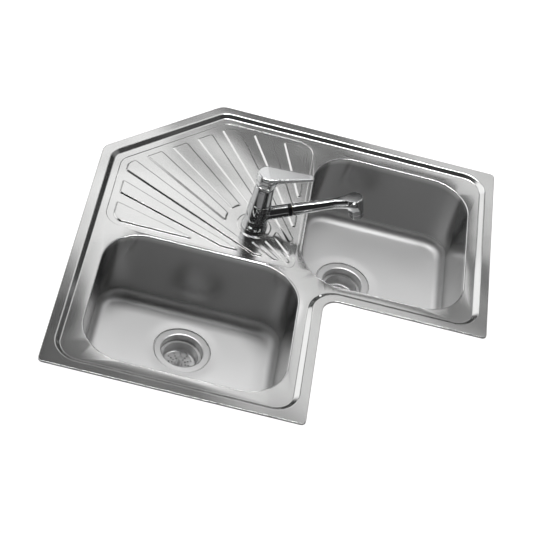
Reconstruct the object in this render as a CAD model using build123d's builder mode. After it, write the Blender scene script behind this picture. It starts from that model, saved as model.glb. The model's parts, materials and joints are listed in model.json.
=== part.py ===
"""Corner kitchen sink with two bowls, a fan drainer, basket wastes and a pull-out lever tap.

Millimetres. +X runs right along the front edges, +Y to the back, +Z up. The origin is the sharp
inner corner of the notch, in the plane of the worktop that the rim rests on. The sink mirrors
about the diagonal that runs from the notch corner to the middle of the cut-off back corner.
"""

from build123d import *
import math
import os

os.makedirs("parts", exist_ok=True)

# ---------------------------------------------------------------- driving dimensions
# Deck
outer_size = 830.0  # side of the square that the sink fits in
arm_width = 500.0  # width of each arm of the L
chamfer_leg = 220.0  # leg of the cut-off back corner
sheet = 1.0  # steel thickness
rim_height = 3.5  # top of the rim above the worktop
rim_flat = 19.5  # flat width of the rim
step_run = 9.0  # plan width of the step down to the deck
deck_drop = 7.5  # depth of the deck below the rim
rim_corner = 10.0
chamfer_corner = 32.0
notch_corner = 32.0
step_corner = 40.0
rim_rounding = 0.95

# Drainer
drainer_inset = 42.5  # outer edge of the sink to the drainer's border
drainer_drop = 1.2
drainer_front = 68.5  # drainer's front border from each notch line
drainer_corner = 36.0
drainer_tip_corner = 14.0
wedge_inset = 58.0  # outer edge of the sink to the outer ends of the wedges
wedge_front = 80.5
wedge_corner = 24.0
wedge_pitch = 7.55  # degrees between wedges
wedge_angle = 4.3  # degrees that each wedge spans
wedges_each_side = 4
wedge_height = 2.6
wedge_flank = 35.0  # degrees that the flanks lean
wedge_rounding = 3.2

# Tap platform
tap_distance = 231.0  # notch corner to the tap's axis, along the diagonal
tap_hole_radius = 17.5
platform_radius = 34.0
platform_rise = 1.5
clear_radius = 53.0  # circle round the tap where the wedges stop
clear_shift = 8.0  # that circle's centre lies further from the notch than the tap

# Bowls: the left bowl's places, which the right bowl mirrors
bowl_side_margin = 60.0  # bowl's outer side to the sink's outer edge
bowl_from_notch_line = 49.0  # bowl's inner side to the notch line beside it
bowl_front_margin = 52.0  # bowl's front to the outer edge
bowl_past_notch = 57.5  # how far the bowl's back reaches past the notch corner
bowl_corner = 85.0
bowl_depth = 172.0  # deck to bowl floor
bowl_draft = 2.5  # degrees
bowl_floor_radius = 21.0
lip_radius = 4.5
bowl_flange = 7.0  # flange round the mouth, butted into the deck

# Waste
drain_from_back = 114.75  # drain's axis to the bowl's back
drain_hole_radius = 45.0
recess_radius = 58.5
recess_depth = 2.5
dish_radius = 84.0
dish_depth = 2.0
flange_radius = 57.0
flange_thick = 1.4
gasket_thick = 1.0
cup_radius = 42.0  # cup's bore above the basket's ledge
ledge_radius = 38.4  # cup's bore below the ledge
ledge_depth = 18.0
cup_depth = 46.0
cup_wall = 1.2
cup_throat = 2.5
cup_holes = 8
cup_hole_radius = 5.0
cup_hole_circle = 24.0
body_gasket_thick = 2.0
waste_wall = 2.6
waste_rim_radius = 56.0
waste_rim_thick = 5.0
waste_chamber = 15.0  # chamber below the cup
waste_cone = 12.0
outlet_radius = 23.9  # outside of the outlet, for a 1 1/2 inch pipe thread
outlet_length = 32.0
boss_radius = 6.5
boss_height = 18.0
spoke_width = 3.0
spoke_height = 8.0
spokes = 4
screw_radius = 3.0
screw_head_radius = 6.0
screw_head = 2.0
screw_length = 16.0

# Basket
basket_gap = 0.3
basket_floor_depth = 40.0  # flange top to the basket's floor
basket_sheet = 0.9
basket_inner_radius = 35.6
basket_rim_radius = 41.2
basket_rounding = 5.0
basket_hole_radius = 1.7
basket_rows = 12
holes_in_row = 3
first_hole_row = 14.0
hole_step = 6.2
knob_radius = 6.5
knob_height = 20.0
knob_neck_radius = 5.2
stopper_radius = 24.0
stopper_thick = 2.2

# Tap, heights above the platform
spout_azimuth = 15.0  # degrees from +X; at rest it points at the right bowl
spout_rise = 16.8  # degrees above level
gasket_rise = 0.8  # thickness of the gasket between tap and deck
plate_radius = 27.0
plate_height = 6.0
ring_height = 21.5
collar_gap = 0.4
collar_top = 67.0
housing_top = 104.0
collar_bottom_radius = 23.5
collar_top_radius = 22.2
housing_bottom_radius = 21.3
housing_top_radius = 19.6
collar_bore = 19.0
spigot_radius = 15.8
hose_bore = 13.2  # bore of spigot and shank
shank_radius = 16.5
shank_below_deck = 46.0
shank_joint_radius = 14.5
shank_joint_length = 10.0
shank_clearance = 0.3
bush_height = 4.5
running_gap = 0.05
window_low = 28.0
window_high = 52.0
window_from = -165.0  # degrees from the rest azimuth of the spout
window_to = 42.0
housing_floor = 14.0
inlet_radius = 5.0
inlet_length = 12.0
inlet_circle = 7.5  # radius on which the three hose threads sit
port_radius = 2.4
cartridge_bore = 17.6
stub_axis_height = 30.0  # where the spout's axis meets the tap's axis
stub_root_radius = 14.2
stub_end_radius = 13.2
stub_end = 63.5  # along the spout's axis
stub_bore = 11.4
dock_ring = 7.5
dock_bore = 9.9
dock_sleeve = 20.0

# Handset, distances along the spout's axis
dock_gap = 0.3
grip_root_radius = 12.8
grip_neck_radius = 10.6
grip_neck_at = 152.0
head_at = 200.5
head_radius = 16.0
head_top = 14.0  # the head's height above the axis, before the flat is cut
flat_from = 157.0  # where the sloping flat on top of the head starts
flat_start_height = 10.7
flat_end_height = 7.6  # at the head's far side
neck_below = 17.0  # the neck's underside where it meets the head
head_below = 31.0  # shell's lower edge below the axis
head_chamber_radius = 12.5
head_chamber_top = 5.5
nozzle_radius = 15.2
nozzle_length = 11.5
nozzle_bore = 10.4
nozzle_screw_in = 6.0
spray_radius = 12.4
spray_recess = 1.0
spray_thick = 3.0
spray_hole_radius = 0.7
tail_radius = 9.82
tail_inside = 24.0
grip_bore = 8.2
neck_bore = 5.2
connector_radius = 7.4
connector_length = 10.0
waterway_radius = 4.0

# Lever and cartridge
pivot_height = 106.0
cap_radius = 19.4
cap_wall = 2.0
cap_opening = 12.6
skirt_gap = 0.4
skirt_bottom = 114.7
skirt_radius = 20.6
lever_head_radius = 22.0
lever_head_low = 120.0  # height from which the head has its full radius
lever_head_rounding = 4.0
lever_top = 145.0
lever_reach = 94.0
lever_drop = 3.0  # the arm's top falls by this from the head to the tip
lever_root_width = 29.0
lever_tip_width = 19.5
lever_root_thick = 16.0
lever_tip_thick = 6.6
flare_reach = 41.0  # how far forward the head flares out below the arm
flare_width = 25.0
flare_top = 134.0
stem_size = 8.0
stem_low = 97.0
stem_top = 136.0
stem_neck_radius = 2.2
stem_ball_radius = 3.2
stem_gap = 0.4
ball_height = 92.6  # centre of the stem's ball, which drives the disc
lift_angle = 24.0
cartridge_radius = 17.5
cartridge_top = 101.0
cartridge_neck_radius = 11.6
cartridge_neck_height = 2.6
cartridge_floor = 1.6
nut_top = 103.6
nut_slot = 3.0
disc_radius = 14.4
moving_disc_radius = 11.2
disc_thick = 3.0
disc_shift = 2.7  # the moving disc sits this far back when the tap is shut
disc_recess_radius = 8.0
disc_recess = 1.2
driver_radius = 9.0
driver_height = 6.0
carrier_radius = 14.8
carrier_gap = 0.4
carrier_shoulder = 99.0
carrier_neck_radius = 9.2
carrier_top = 111.0
pin_radius = 1.5
grub_radius = 2.5
grub_height = 130.0
grub_length = 8.0

# Under the deck
seal_from = 5.0
seal_to = 17.0
stiffener_radius = 31.0
stiffener_thick = 4.0
washer_radius = 27.0
washer_thick = 2.0
nut_flats = 46.0
nut_height = 12.0
pad_thick = 2.0
pad_margin = 40.0  # pad's edge inside the bowl's mouth
pad_clearance = 6.0
bracket_inset = 31.5
bracket_width = 22.0
bracket_tab = 9.0
bracket_height = 28.0
bracket_sheet = 1.5
hook_width = 16.0
hook_reach = 27.0
hook_top = 12.0  # deck's underside down to the hook's upper end
hook_low = 32.0
hook_tooth = 4.0
clamp_screw_radius = 2.0
clamp_screw_drop = 19.0
clamp_screw_length = 9.0
clamp_head_radius = 4.0
clamp_head = 2.0
clamp_shares = (0.26, 0.74)  # where the clamps lie along each long side

# ---------------------------------------------------------------- derived places
notch = outer_size - arm_width
left_x = -arm_width
front_y = -notch
right_x = notch
back_y = arm_width
rim_top = rim_height
deck_top = rim_top - deck_drop
deck_under = deck_top - sheet
field_top = deck_top - drainer_drop
field_under = field_top - sheet
platform_top = field_top + platform_rise
tap_x = -tap_distance / math.sqrt(2)
tap_y = tap_distance / math.sqrt(2)
step_angle = math.degrees(math.atan2(step_run, deck_drop))
floor_z = deck_top - bowl_depth
seat_z = floor_z - dish_depth - recess_depth
flange_top_z = seat_z + gasket_thick + flange_thick

bowl_long = arm_width - bowl_side_margin - bowl_from_notch_line
bowl_short = notch - bowl_front_margin + bowl_past_notch
left_bowl_x = -bowl_from_notch_line - bowl_long / 2
left_bowl_y = bowl_past_notch - bowl_short / 2
drain_offset = bowl_short / 2 - drain_from_back
bowls = {
    # name: (centre x, centre y, size x, size y, drain x, drain y)
    "left": (left_bowl_x, left_bowl_y, bowl_long, bowl_short, left_bowl_x, left_bowl_y + drain_offset),
    "right": (-left_bowl_y, -left_bowl_x, bowl_short, bowl_long, -left_bowl_y - drain_offset, -left_bowl_x),
}


def outline(inset, corner, chamfer, inner):
    """The L with its cut-off corner, moved in by inset, with its own corner radii."""
    slant = inset * (math.sqrt(2) - 1)
    points = [
        (left_x + inset, front_y + inset),
        (-inset, front_y + inset),
        (-inset, inset),
        (right_x - inset, inset),
        (right_x - inset, back_y - inset),
        (left_x + chamfer_leg + slant, back_y - inset),
        (left_x + inset, back_y - chamfer_leg - slant),
    ]
    with BuildSketch() as shape:
        with BuildLine():
            Polyline(*points, close=True)
        make_face()
        corners = shape.vertices()
        fillet([v for v in corners if abs(v.X + inset) < 0.01 and abs(v.Y - inset) < 0.01], inner)
        fillet([v for v in shape.vertices() if v.Y > v.X + outer_size - 1.5 * chamfer_leg
                and min(abs(v.X - points[5][0]), abs(v.X - points[6][0])) < 0.01], chamfer)
        squares = [points[0], points[1], points[3], points[4]]
        fillet([v for v in shape.vertices()
                if min(math.hypot(v.X - x, v.Y - y) for x, y in squares) < 0.01], corner)
    return shape.sketch


def drainer_outline(inset, front, corner, tip_corner, grow=0.0):
    """The drainer's border: parallel to the sink's left, back and cut-off edges."""
    edge = inset - grow
    near = front - grow
    slant = edge * (math.sqrt(2) - 1)
    points = [
        (left_x + edge, near),
        (-near, near),
        (-near, back_y - edge),
        (left_x + chamfer_leg + slant, back_y - edge),
        (left_x + edge, back_y - chamfer_leg - slant),
    ]
    with BuildSketch() as shape:
        with BuildLine():
            Polyline(*points, close=True)
        make_face()
        fillet([v for v in shape.vertices() if math.hypot(v.X + near, v.Y - near) < 0.01],
               tip_corner + grow)
        wide = [points[0], points[2], points[3], points[4]]
        fillet([v for v in shape.vertices()
                if min(math.hypot(v.X - x, v.Y - y) for x, y in wide) < 0.01], corner + grow)
    return shape.sketch


def wedge_outline(index, shrink=0.0):
    """One wedge of the fan: a sector from the notch corner, kept inside the border, off the tap."""
    middle = math.radians(135 + index * wedge_pitch)
    half = math.radians(wedge_angle / 2)
    if abs(index) == wedges_each_side:
        half_out = math.radians(45.0)
    else:
        half_out = half
    low = middle - (half_out if index < 0 else half)
    high = middle + (half_out if index > 0 else half)
    reach = outer_size
    clear_distance = tap_distance + clear_shift
    clear_x = -clear_distance / math.sqrt(2)
    clear_y = clear_distance / math.sqrt(2)
    with BuildSketch() as shape:
        with BuildLine():
            Polyline(
                (0, 0),
                (reach * math.cos(low), reach * math.sin(low)),
                (reach * math.cos(high), reach * math.sin(high)),
                close=True,
            )
        make_face()
        add(drainer_outline(wedge_inset, wedge_front, wedge_corner, wedge_rounding),
            mode=Mode.INTERSECT)
        with Locations((clear_x, clear_y)):
            Circle(clear_radius, mode=Mode.SUBTRACT)
        offset(amount=-wedge_rounding - shrink)
        offset(amount=wedge_rounding)
    return shape.sketch


def profile(points, x, y, z):
    """A half section of (radius, height) points, standing on the upright axis at x, y from z up."""
    with BuildSketch(Plane((x, y, z), x_dir=(1, 0, 0), z_dir=(0, -1, 0))) as section:
        with BuildLine():
            Polyline(*points, close=True)
        make_face()
    return section.sketch


def ring(inner, outer, low, high):
    """The section of a plain ring, as (radius, height) points."""
    return [(inner, low), (outer, low), (outer, high), (inner, high)]


# ---------------------------------------------------------------- deck panel
# The pressed pan: the step and the deck, first as the form above the sheet, then below it.
with BuildPart() as pan_inside:
    with BuildSketch(Plane.XY.offset(deck_top)):
        add(outline(rim_flat + step_run, step_corner, chamfer_corner, notch_corner + step_run + rim_flat))
    extrude(amount=deck_drop, taper=-step_angle)

with BuildPart() as deck_panel:
    with BuildSketch(Plane.XY.offset(rim_top - sheet)):
        add(outline(0, rim_corner, chamfer_corner, notch_corner))
    extrude(amount=sheet)
    with BuildSketch(Plane.XY):
        add(outline(0, rim_corner, chamfer_corner, notch_corner))
        add(outline(sheet, rim_corner - sheet, chamfer_corner - sheet, notch_corner + sheet),
            mode=Mode.SUBTRACT)
    extrude(amount=rim_top)
    fillet(deck_panel.faces().sort_by(Axis.Z)[-1].outer_wire().edges(), rim_rounding)
    with BuildSketch(Plane.XY.offset(deck_under)):
        add(outline(rim_flat + step_run - sheet, step_corner + sheet, chamfer_corner + sheet,
                    notch_corner + step_run + rim_flat - sheet))
    extrude(amount=deck_drop, taper=-step_angle)
    add(pan_inside.part, mode=Mode.SUBTRACT)
    # the drainer's field, a shallow step below the deck
    with BuildSketch(Plane.XY.offset(field_under)):
        add(drainer_outline(drainer_inset, drainer_front, drainer_corner, drainer_tip_corner, sheet))
    extrude(amount=drainer_drop)
    with BuildSketch(Plane.XY.offset(field_top)):
        add(drainer_outline(drainer_inset, drainer_front, drainer_corner, drainer_tip_corner))
    extrude(amount=drainer_drop, mode=Mode.SUBTRACT)
    # the platform that carries the tap
    with Locations((tap_x, tap_y, field_under)):
        Cone(platform_radius + platform_rise, platform_radius, platform_rise + sheet,
             align=(Align.CENTER, Align.CENTER, Align.MIN))
        Cone(platform_radius + platform_rise - sheet, platform_radius - sheet, platform_rise,
             align=(Align.CENTER, Align.CENTER, Align.MIN), mode=Mode.SUBTRACT)
        Cylinder(tap_hole_radius, 4 * sheet + platform_rise, mode=Mode.SUBTRACT)
    # the fan of raised wedges, hollow below
    for index in range(-wedges_each_side, wedges_each_side + 1):
        with BuildSketch(Plane.XY.offset(field_under)):
            add(wedge_outline(index))
        extrude(amount=wedge_height + sheet, taper=wedge_flank)
        with BuildSketch(Plane.XY.offset(field_under)):
            add(wedge_outline(index, sheet))
        extrude(amount=wedge_height, taper=wedge_flank, mode=Mode.SUBTRACT)
    # the mouths that the bowls are butted into
    for centre_x, centre_y, size_x, size_y, drain_x, drain_y in bowls.values():
        with BuildSketch(Plane.XY.offset(deck_under)):
            with Locations((centre_x, centre_y)):
                RectangleRounded(size_x + 2 * bowl_flange, size_y + 2 * bowl_flange,
                                 bowl_corner + bowl_flange)
        extrude(amount=2 * sheet, mode=Mode.SUBTRACT)
deck_panel.part.label = "deck_panel"
export_step(deck_panel.part, "parts/deck_panel.step")

# ---------------------------------------------------------------- bowls
for side, (centre_x, centre_y, size_x, size_y, drain_x, drain_y) in bowls.items():
    mouth = Plane((centre_x, centre_y, deck_top), x_dir=(1, 0, 0), z_dir=(0, 0, -1))

    with BuildPart() as hollow:
        with BuildSketch(mouth):
            RectangleRounded(size_x, size_y, bowl_corner)
        extrude(amount=bowl_depth, taper=bowl_draft)
        fillet(hollow.faces().sort_by(Axis.Z)[0].edges(), bowl_floor_radius)
        with Locations((drain_x, drain_y, floor_z)):
            Cone(recess_radius + sheet, dish_radius, dish_depth,
                 align=(Align.CENTER, Align.CENTER, Align.MAX))
        with Locations((drain_x, drain_y, floor_z)):
            Cylinder(recess_radius, dish_depth + recess_depth,
                     align=(Align.CENTER, Align.CENTER, Align.MAX))
        with Locations((drain_x, drain_y, floor_z)):
            Cylinder(drain_hole_radius, bowl_floor_radius,
                     align=(Align.CENTER, Align.CENTER, Align.MAX))

    with BuildPart() as bowl:
        with BuildSketch(mouth):
            RectangleRounded(size_x + 2 * sheet, size_y + 2 * sheet, bowl_corner + sheet)
        extrude(amount=bowl_depth + sheet, taper=bowl_draft)
        fillet(bowl.faces().sort_by(Axis.Z)[0].edges(), bowl_floor_radius + sheet)
        with Locations((drain_x, drain_y, floor_z - sheet)):
            Cone(recess_radius + 2 * sheet, dish_radius + sheet, dish_depth,
                 align=(Align.CENTER, Align.CENTER, Align.MAX))
        with Locations((drain_x, drain_y, floor_z - sheet)):
            Cylinder(recess_radius + sheet, dish_depth + recess_depth,
                     align=(Align.CENTER, Align.CENTER, Align.MAX))
        with BuildSketch(mouth):
            RectangleRounded(size_x + 2 * bowl_flange, size_y + 2 * bowl_flange,
                             bowl_corner + bowl_flange)
        extrude(amount=sheet)
        underside = bowl.faces().filter_by(Axis.Z).filter_by_position(
            Axis.Z, deck_under - sheet / 2, deck_under + sheet / 2)[0]
        fillet(underside.inner_wires()[0].edges(), lip_radius - sheet)
        add(hollow.part, mode=Mode.SUBTRACT)
        fillet(bowl.faces().sort_by(Axis.Z)[-1].inner_wires()[0].edges(), lip_radius)
    bowl.part.label = f"{side}_bowl"
    export_step(bowl.part, f"parts/{side}_bowl.step")

# ---------------------------------------------------------------- seal and pads
with BuildPart() as rim_seal:
    with BuildSketch(Plane.XY):
        add(outline(seal_from, rim_corner, chamfer_corner, notch_corner + seal_from))
        add(outline(seal_to, rim_corner, chamfer_corner, notch_corner + seal_to), mode=Mode.SUBTRACT)
    extrude(amount=rim_top - sheet)
rim_seal.part.label = "rim_seal"
export_step(rim_seal.part, "parts/rim_seal.step")

for side, (centre_x, centre_y, size_x, size_y, drain_x, drain_y) in bowls.items():
    with BuildPart() as sound_pad:
        with BuildSketch(Plane.XY.offset(floor_z - sheet - pad_thick)):
            with Locations((centre_x, centre_y)):
                RectangleRounded(size_x - 2 * pad_margin, size_y - 2 * pad_margin, bowl_floor_radius)
            with Locations((drain_x, drain_y)):
                Circle(dish_radius + sheet + pad_clearance, mode=Mode.SUBTRACT)
        extrude(amount=pad_thick)
    sound_pad.part.label = f"{side}_sound_pad"
    export_step(sound_pad.part, f"parts/{side}_sound_pad.step")

# ---------------------------------------------------------------- clamps
# Each place is on the outer edge, with the direction that points into the sink.
clamp_places = []
for share in clamp_shares:
    clamp_places.append((left_x, front_y + share * (back_y - chamfer_leg - front_y), 1, 0))
    clamp_places.append((left_x + share * arm_width, front_y, 0, 1))
    clamp_places.append((right_x - share * (right_x - left_x - chamfer_leg), back_y, 0, -1))
    clamp_places.append((right_x, back_y - share * arm_width, -1, 0))
clamp_places.append((0, front_y / 2, -1, 0))
clamp_places.append((right_x / 2, 0, 0, 1))
half_chamfer = chamfer_leg / 2
diagonal = math.sqrt(0.5)
clamp_places.append((left_x + half_chamfer, back_y - half_chamfer, diagonal, -diagonal))
clamp_planes = [
    Plane((x, y, deck_under), x_dir=(in_y, -in_x, 0), z_dir=(0, 0, 1)) for x, y, in_x, in_y in clamp_places
]

with BuildPart() as one_bracket:
    with BuildSketch(Plane.YZ.offset(-bracket_width / 2)):
        with BuildLine():
            Polyline(
                (bracket_inset, 0),
                (bracket_inset + bracket_tab, 0),
                (bracket_inset + bracket_tab, -bracket_sheet),
                (bracket_inset + bracket_sheet, -bracket_sheet),
                (bracket_inset + bracket_sheet, -bracket_height),
                (bracket_inset, -bracket_height),
                close=True,
            )
        make_face()
    extrude(amount=bracket_width)
    with Locations(Plane((0, bracket_inset, -clamp_screw_drop), x_dir=(1, 0, 0), z_dir=(0, 1, 0))):
        Cylinder(clamp_screw_radius, 4 * bracket_sheet, mode=Mode.SUBTRACT)

with BuildPart() as one_hook:
    hook_back = bracket_inset - bracket_sheet
    with BuildSketch(Plane.YZ.offset(-hook_width / 2)):
        with BuildLine():
            Polyline(
                (bracket_inset, -hook_top),
                (bracket_inset, -hook_low),
                (bracket_inset - hook_reach, -hook_low),
                (bracket_inset - hook_reach, -hook_low + hook_tooth),
                (bracket_inset - hook_reach + bracket_sheet, -hook_low + hook_tooth),
                (bracket_inset - hook_reach + bracket_sheet, -hook_low + bracket_sheet),
                (hook_back, -hook_low + bracket_sheet),
                (hook_back, -hook_top),
                close=True,
            )
        make_face()
    extrude(amount=hook_width)
    with Locations(Plane((0, hook_back, -clamp_screw_drop), x_dir=(1, 0, 0), z_dir=(0, 1, 0))):
        Cylinder(clamp_screw_radius, 4 * bracket_sheet, mode=Mode.SUBTRACT)

with BuildPart() as one_clamp_screw:
    with Locations(Plane((0, bracket_inset + bracket_sheet, -clamp_screw_drop),
                         x_dir=(1, 0, 0), z_dir=(0, 1, 0))):
        Cylinder(clamp_head_radius, clamp_head, align=(Align.CENTER, Align.CENTER, Align.MIN))
        Cylinder(clamp_screw_radius, clamp_screw_length, align=(Align.CENTER, Align.CENTER, Align.MAX))

with BuildPart() as clamp_brackets:
    with Locations(*clamp_planes):
        add(one_bracket.part)
clamp_brackets.part.label = "clamp_brackets"
export_step(clamp_brackets.part, "parts/clamp_brackets.step")

with BuildPart() as clamp_hooks:
    with Locations(*clamp_planes):
        add(one_hook.part)
clamp_hooks.part.label = "clamp_hooks"
export_step(clamp_hooks.part, "parts/clamp_hooks.step")

with BuildPart() as clamp_screws:
    with Locations(*clamp_planes):
        add(one_clamp_screw.part)
clamp_screws.part.label = "clamp_screws"
export_step(clamp_screws.part, "parts/clamp_screws.step")

# ---------------------------------------------------------------- wastes and baskets
# Heights below are taken down from the top of the strainer's flange.
cup_floor = -cup_depth
cup_under = cup_floor - cup_wall
gasket_top = -flange_thick
gasket_low = gasket_top - gasket_thick
body_gasket_top = gasket_low - sheet
waste_top = body_gasket_top - body_gasket_thick
chamber_low = cup_under - waste_chamber
outlet_top = chamber_low - waste_cone
outlet_low = outlet_top - outlet_length
chamber_radius = drain_hole_radius + sheet
outlet_bore = outlet_radius - waste_wall
basket_rim_low = -ledge_depth + basket_gap
basket_outer_radius = basket_inner_radius + basket_sheet

for side, (centre_x, centre_y, size_x, size_y, drain_x, drain_y) in bowls.items():
    drain_axis = Axis((drain_x, drain_y, 0), (0, 0, 1))
    drain_at = (drain_x, drain_y, flange_top_z)

    with BuildPart() as strainer_flange:
        revolve(profile([
            (flange_radius, gasket_top),
            (flange_radius, gasket_top / 2),
            (flange_radius - flange_thick, 0),
            (cup_radius + cup_throat, 0),
            (cup_radius + cup_throat / 4, -cup_throat / 4),
            (cup_radius, -cup_throat),
            (cup_radius, -ledge_depth),
            (ledge_radius, -ledge_depth),
            (ledge_radius, cup_floor),
            (0, cup_floor),
            (0, cup_under),
            (ledge_radius + cup_wall, cup_under),
            (ledge_radius + cup_wall, -ledge_depth - cup_wall),
            (cup_radius + cup_wall, -ledge_depth - cup_wall),
            (cup_radius + cup_wall, gasket_top),
        ], *drain_at), axis=drain_axis)
        with Locations((drain_x, drain_y, flange_top_z + cup_floor)):
            Cylinder(screw_radius, 4 * cup_wall, mode=Mode.SUBTRACT)
            with PolarLocations(cup_hole_circle, cup_holes):
                Cylinder(cup_hole_radius, 4 * cup_wall, mode=Mode.SUBTRACT)
    strainer_flange.part.label = f"{side}_strainer_flange"
    export_step(strainer_flange.part, f"parts/{side}_strainer_flange.step")

    with BuildPart() as flange_gasket:
        revolve(profile(ring(drain_hole_radius, flange_radius - flange_thick, gasket_low, gasket_top),
                        *drain_at), axis=drain_axis)
    flange_gasket.part.label = f"{side}_flange_gasket"
    export_step(flange_gasket.part, f"parts/{side}_flange_gasket.step")

    with BuildPart() as body_gasket:
        revolve(profile(ring(chamber_radius, waste_rim_radius, waste_top, body_gasket_top),
                        *drain_at), axis=drain_axis)
    body_gasket.part.label = f"{side}_body_gasket"
    export_step(body_gasket.part, f"parts/{side}_body_gasket.step")

    with BuildPart() as waste_body:
        revolve(profile([
            (chamber_radius, waste_top),
            (waste_rim_radius, waste_top),
            (waste_rim_radius, waste_top - waste_rim_thick),
            (chamber_radius + waste_wall, waste_top - 2 * waste_rim_thick),
            (chamber_radius + waste_wall, chamber_low),
            (outlet_radius, outlet_top),
            (outlet_radius, outlet_low),
            (outlet_bore, outlet_low),
            (outlet_bore, outlet_top + waste_wall),
            (chamber_radius, chamber_low + waste_wall),
        ], *drain_at), axis=drain_axis)
        with Locations((drain_x, drain_y, flange_top_z + cup_under)):
            Cylinder(boss_radius, boss_height, align=(Align.CENTER, Align.CENTER, Align.MAX))
        with Locations((drain_x, drain_y, flange_top_z + cup_under - boss_height / 4)):
            with PolarLocations(0, spokes):
                Box(chamber_radius + waste_wall / 2, spoke_width, spoke_height,
                    align=(Align.MIN, Align.CENTER, Align.MAX))
        with Locations((drain_x, drain_y, flange_top_z + cup_under)):
            Cylinder(screw_radius, screw_length, align=(Align.CENTER, Align.CENTER, Align.MAX),
                     mode=Mode.SUBTRACT)
    waste_body.part.label = f"{side}_waste_body"
    export_step(waste_body.part, f"parts/{side}_waste_body.step")

    with BuildPart() as waste_screw:
        with Locations((drain_x, drain_y, flange_top_z + cup_floor)):
            Cylinder(screw_head_radius, screw_head, align=(Align.CENTER, Align.CENTER, Align.MIN))
            Cylinder(screw_radius, screw_length, align=(Align.CENTER, Align.CENTER, Align.MAX))
        with Locations((drain_x, drain_y, flange_top_z + cup_floor + screw_head)):
            Box(2 * screw_head_radius, screw_head / 2, screw_head, mode=Mode.SUBTRACT)
    waste_screw.part.label = f"{side}_waste_screw"
    export_step(waste_screw.part, f"parts/{side}_waste_screw.step")

    with BuildPart() as basket:
        basket_floor = -basket_floor_depth
        revolve(profile([
            (0, basket_floor),
            (basket_inner_radius, basket_floor),
            (basket_inner_radius, basket_rim_low + 2 * basket_sheet),
            (basket_rim_radius, basket_rim_low + 2 * basket_sheet),
            (basket_rim_radius, basket_rim_low),
            (basket_outer_radius, basket_rim_low),
            (basket_outer_radius, basket_floor - basket_sheet),
            (0, basket_floor - basket_sheet),
        ], *drain_at), axis=drain_axis)
        fillet(basket.edges().filter_by(GeomType.CIRCLE).group_by(Axis.Z)[0], basket_rounding)
        inner_foot = basket.edges().filter_by(GeomType.CIRCLE).filter_by(
            lambda e: abs(e.center().Z - flange_top_z - basket_floor) < 0.01)
        fillet(inner_foot, basket_rounding - basket_sheet)
        with Locations((drain_x, drain_y, flange_top_z + basket_floor)):
            for row in range(holes_in_row):
                with PolarLocations(first_hole_row + row * hole_step, basket_rows):
                    Cylinder(basket_hole_radius, 4 * basket_sheet, mode=Mode.SUBTRACT)
    basket.part.label = f"{side}_basket"
    export_step(basket.part, f"parts/{side}_basket.step")

    with BuildPart() as basket_knob:
        knob_low = basket_floor
        revolve(profile([
            (0, knob_low),
            (knob_radius + basket_sheet, knob_low),
            (knob_neck_radius, knob_low + 2 * basket_sheet),
            (knob_neck_radius, knob_low + 0.7 * knob_height),
            (knob_radius, knob_low + 0.8 * knob_height),
            (knob_radius, knob_low + knob_height - basket_sheet),
            (knob_radius - basket_sheet, knob_low + knob_height),
            (knob_radius / 2, knob_low + knob_height),
            (knob_radius / 3, knob_low + knob_height - basket_sheet),
            (0, knob_low + knob_height - basket_sheet),
        ], *drain_at), axis=drain_axis)
    basket_knob.part.label = f"{side}_basket_knob"
    export_step(basket_knob.part, f"parts/{side}_basket_knob.step")

    with BuildPart() as basket_stopper:
        stopper_top = basket_floor - basket_sheet
        revolve(profile([
            (0, stopper_top),
            (first_hole_row - 2 * basket_hole_radius, stopper_top),
            (first_hole_row - 2 * basket_hole_radius, stopper_top - stopper_thick / 2),
            (stopper_radius, stopper_top - stopper_thick / 2),
            (stopper_radius, stopper_top - stopper_thick),
            (0, stopper_top - stopper_thick),
        ], *drain_at), axis=drain_axis)
    basket_stopper.part.label = f"{side}_basket_stopper"
    export_step(basket_stopper.part, f"parts/{side}_basket_stopper.step")

# ---------------------------------------------------------------- tap places
# Heights from here on are above the platform.
tap_at = (tap_x, tap_y, platform_top)
tap_axis = Axis((tap_x, tap_y, 0), (0, 0, 1))
azimuth = math.radians(spout_azimuth)
rise = math.radians(spout_rise)
forward = Vector(math.cos(azimuth), math.sin(azimuth), 0)
sideways = Vector(-math.sin(azimuth), math.cos(azimuth), 0)
upward = Vector(0, 0, 1)
along_spout = forward * math.cos(rise) + upward * math.sin(rise)
across_spout = upward * math.cos(rise) - forward * math.sin(rise)

housing_low = collar_top + collar_gap
collar_low = ring_height + collar_gap
cartridge_low = housing_low + housing_floor
disc_low = cartridge_low + cartridge_floor
moving_disc_low = disc_low + disc_thick + running_gap
driver_low = moving_disc_low + disc_thick
driver_top = driver_low + driver_height
carrier_low = driver_top + carrier_gap
cavity_radius = carrier_radius + carrier_gap
cavity_top = carrier_shoulder + carrier_gap
handset_start = stub_end + dock_ring + dock_gap


def above(height):
    """The level plane at a height above the platform, with its x the way the lever points."""
    return Plane(Vector(*tap_at) + upward * height, x_dir=forward, z_dir=upward)


def upright(distance, height):
    """The upright plane across the lever at a distance from the tap's axis, centred at a height."""
    return Plane(Vector(*tap_at) + forward * distance + upward * height, x_dir=sideways, z_dir=forward)


def lengthwise(height):
    """The upright plane that holds the tap's axis and the lever, centred at a height."""
    return Plane(Vector(*tap_at) + upward * height, x_dir=forward, z_dir=sideways * -1)


def station(distance):
    """The plane across the spout at a distance along its axis, with its y pointing up."""
    return Plane(Vector(*tap_at) + upward * stub_axis_height + along_spout * distance,
                 x_dir=sideways, z_dir=along_spout)


def head_level(height):
    """The plane along the spout through the head's centre, at a height above the spout's axis."""
    return Plane(station(head_at).origin + across_spout * height, x_dir=along_spout, z_dir=across_spout)


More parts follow.
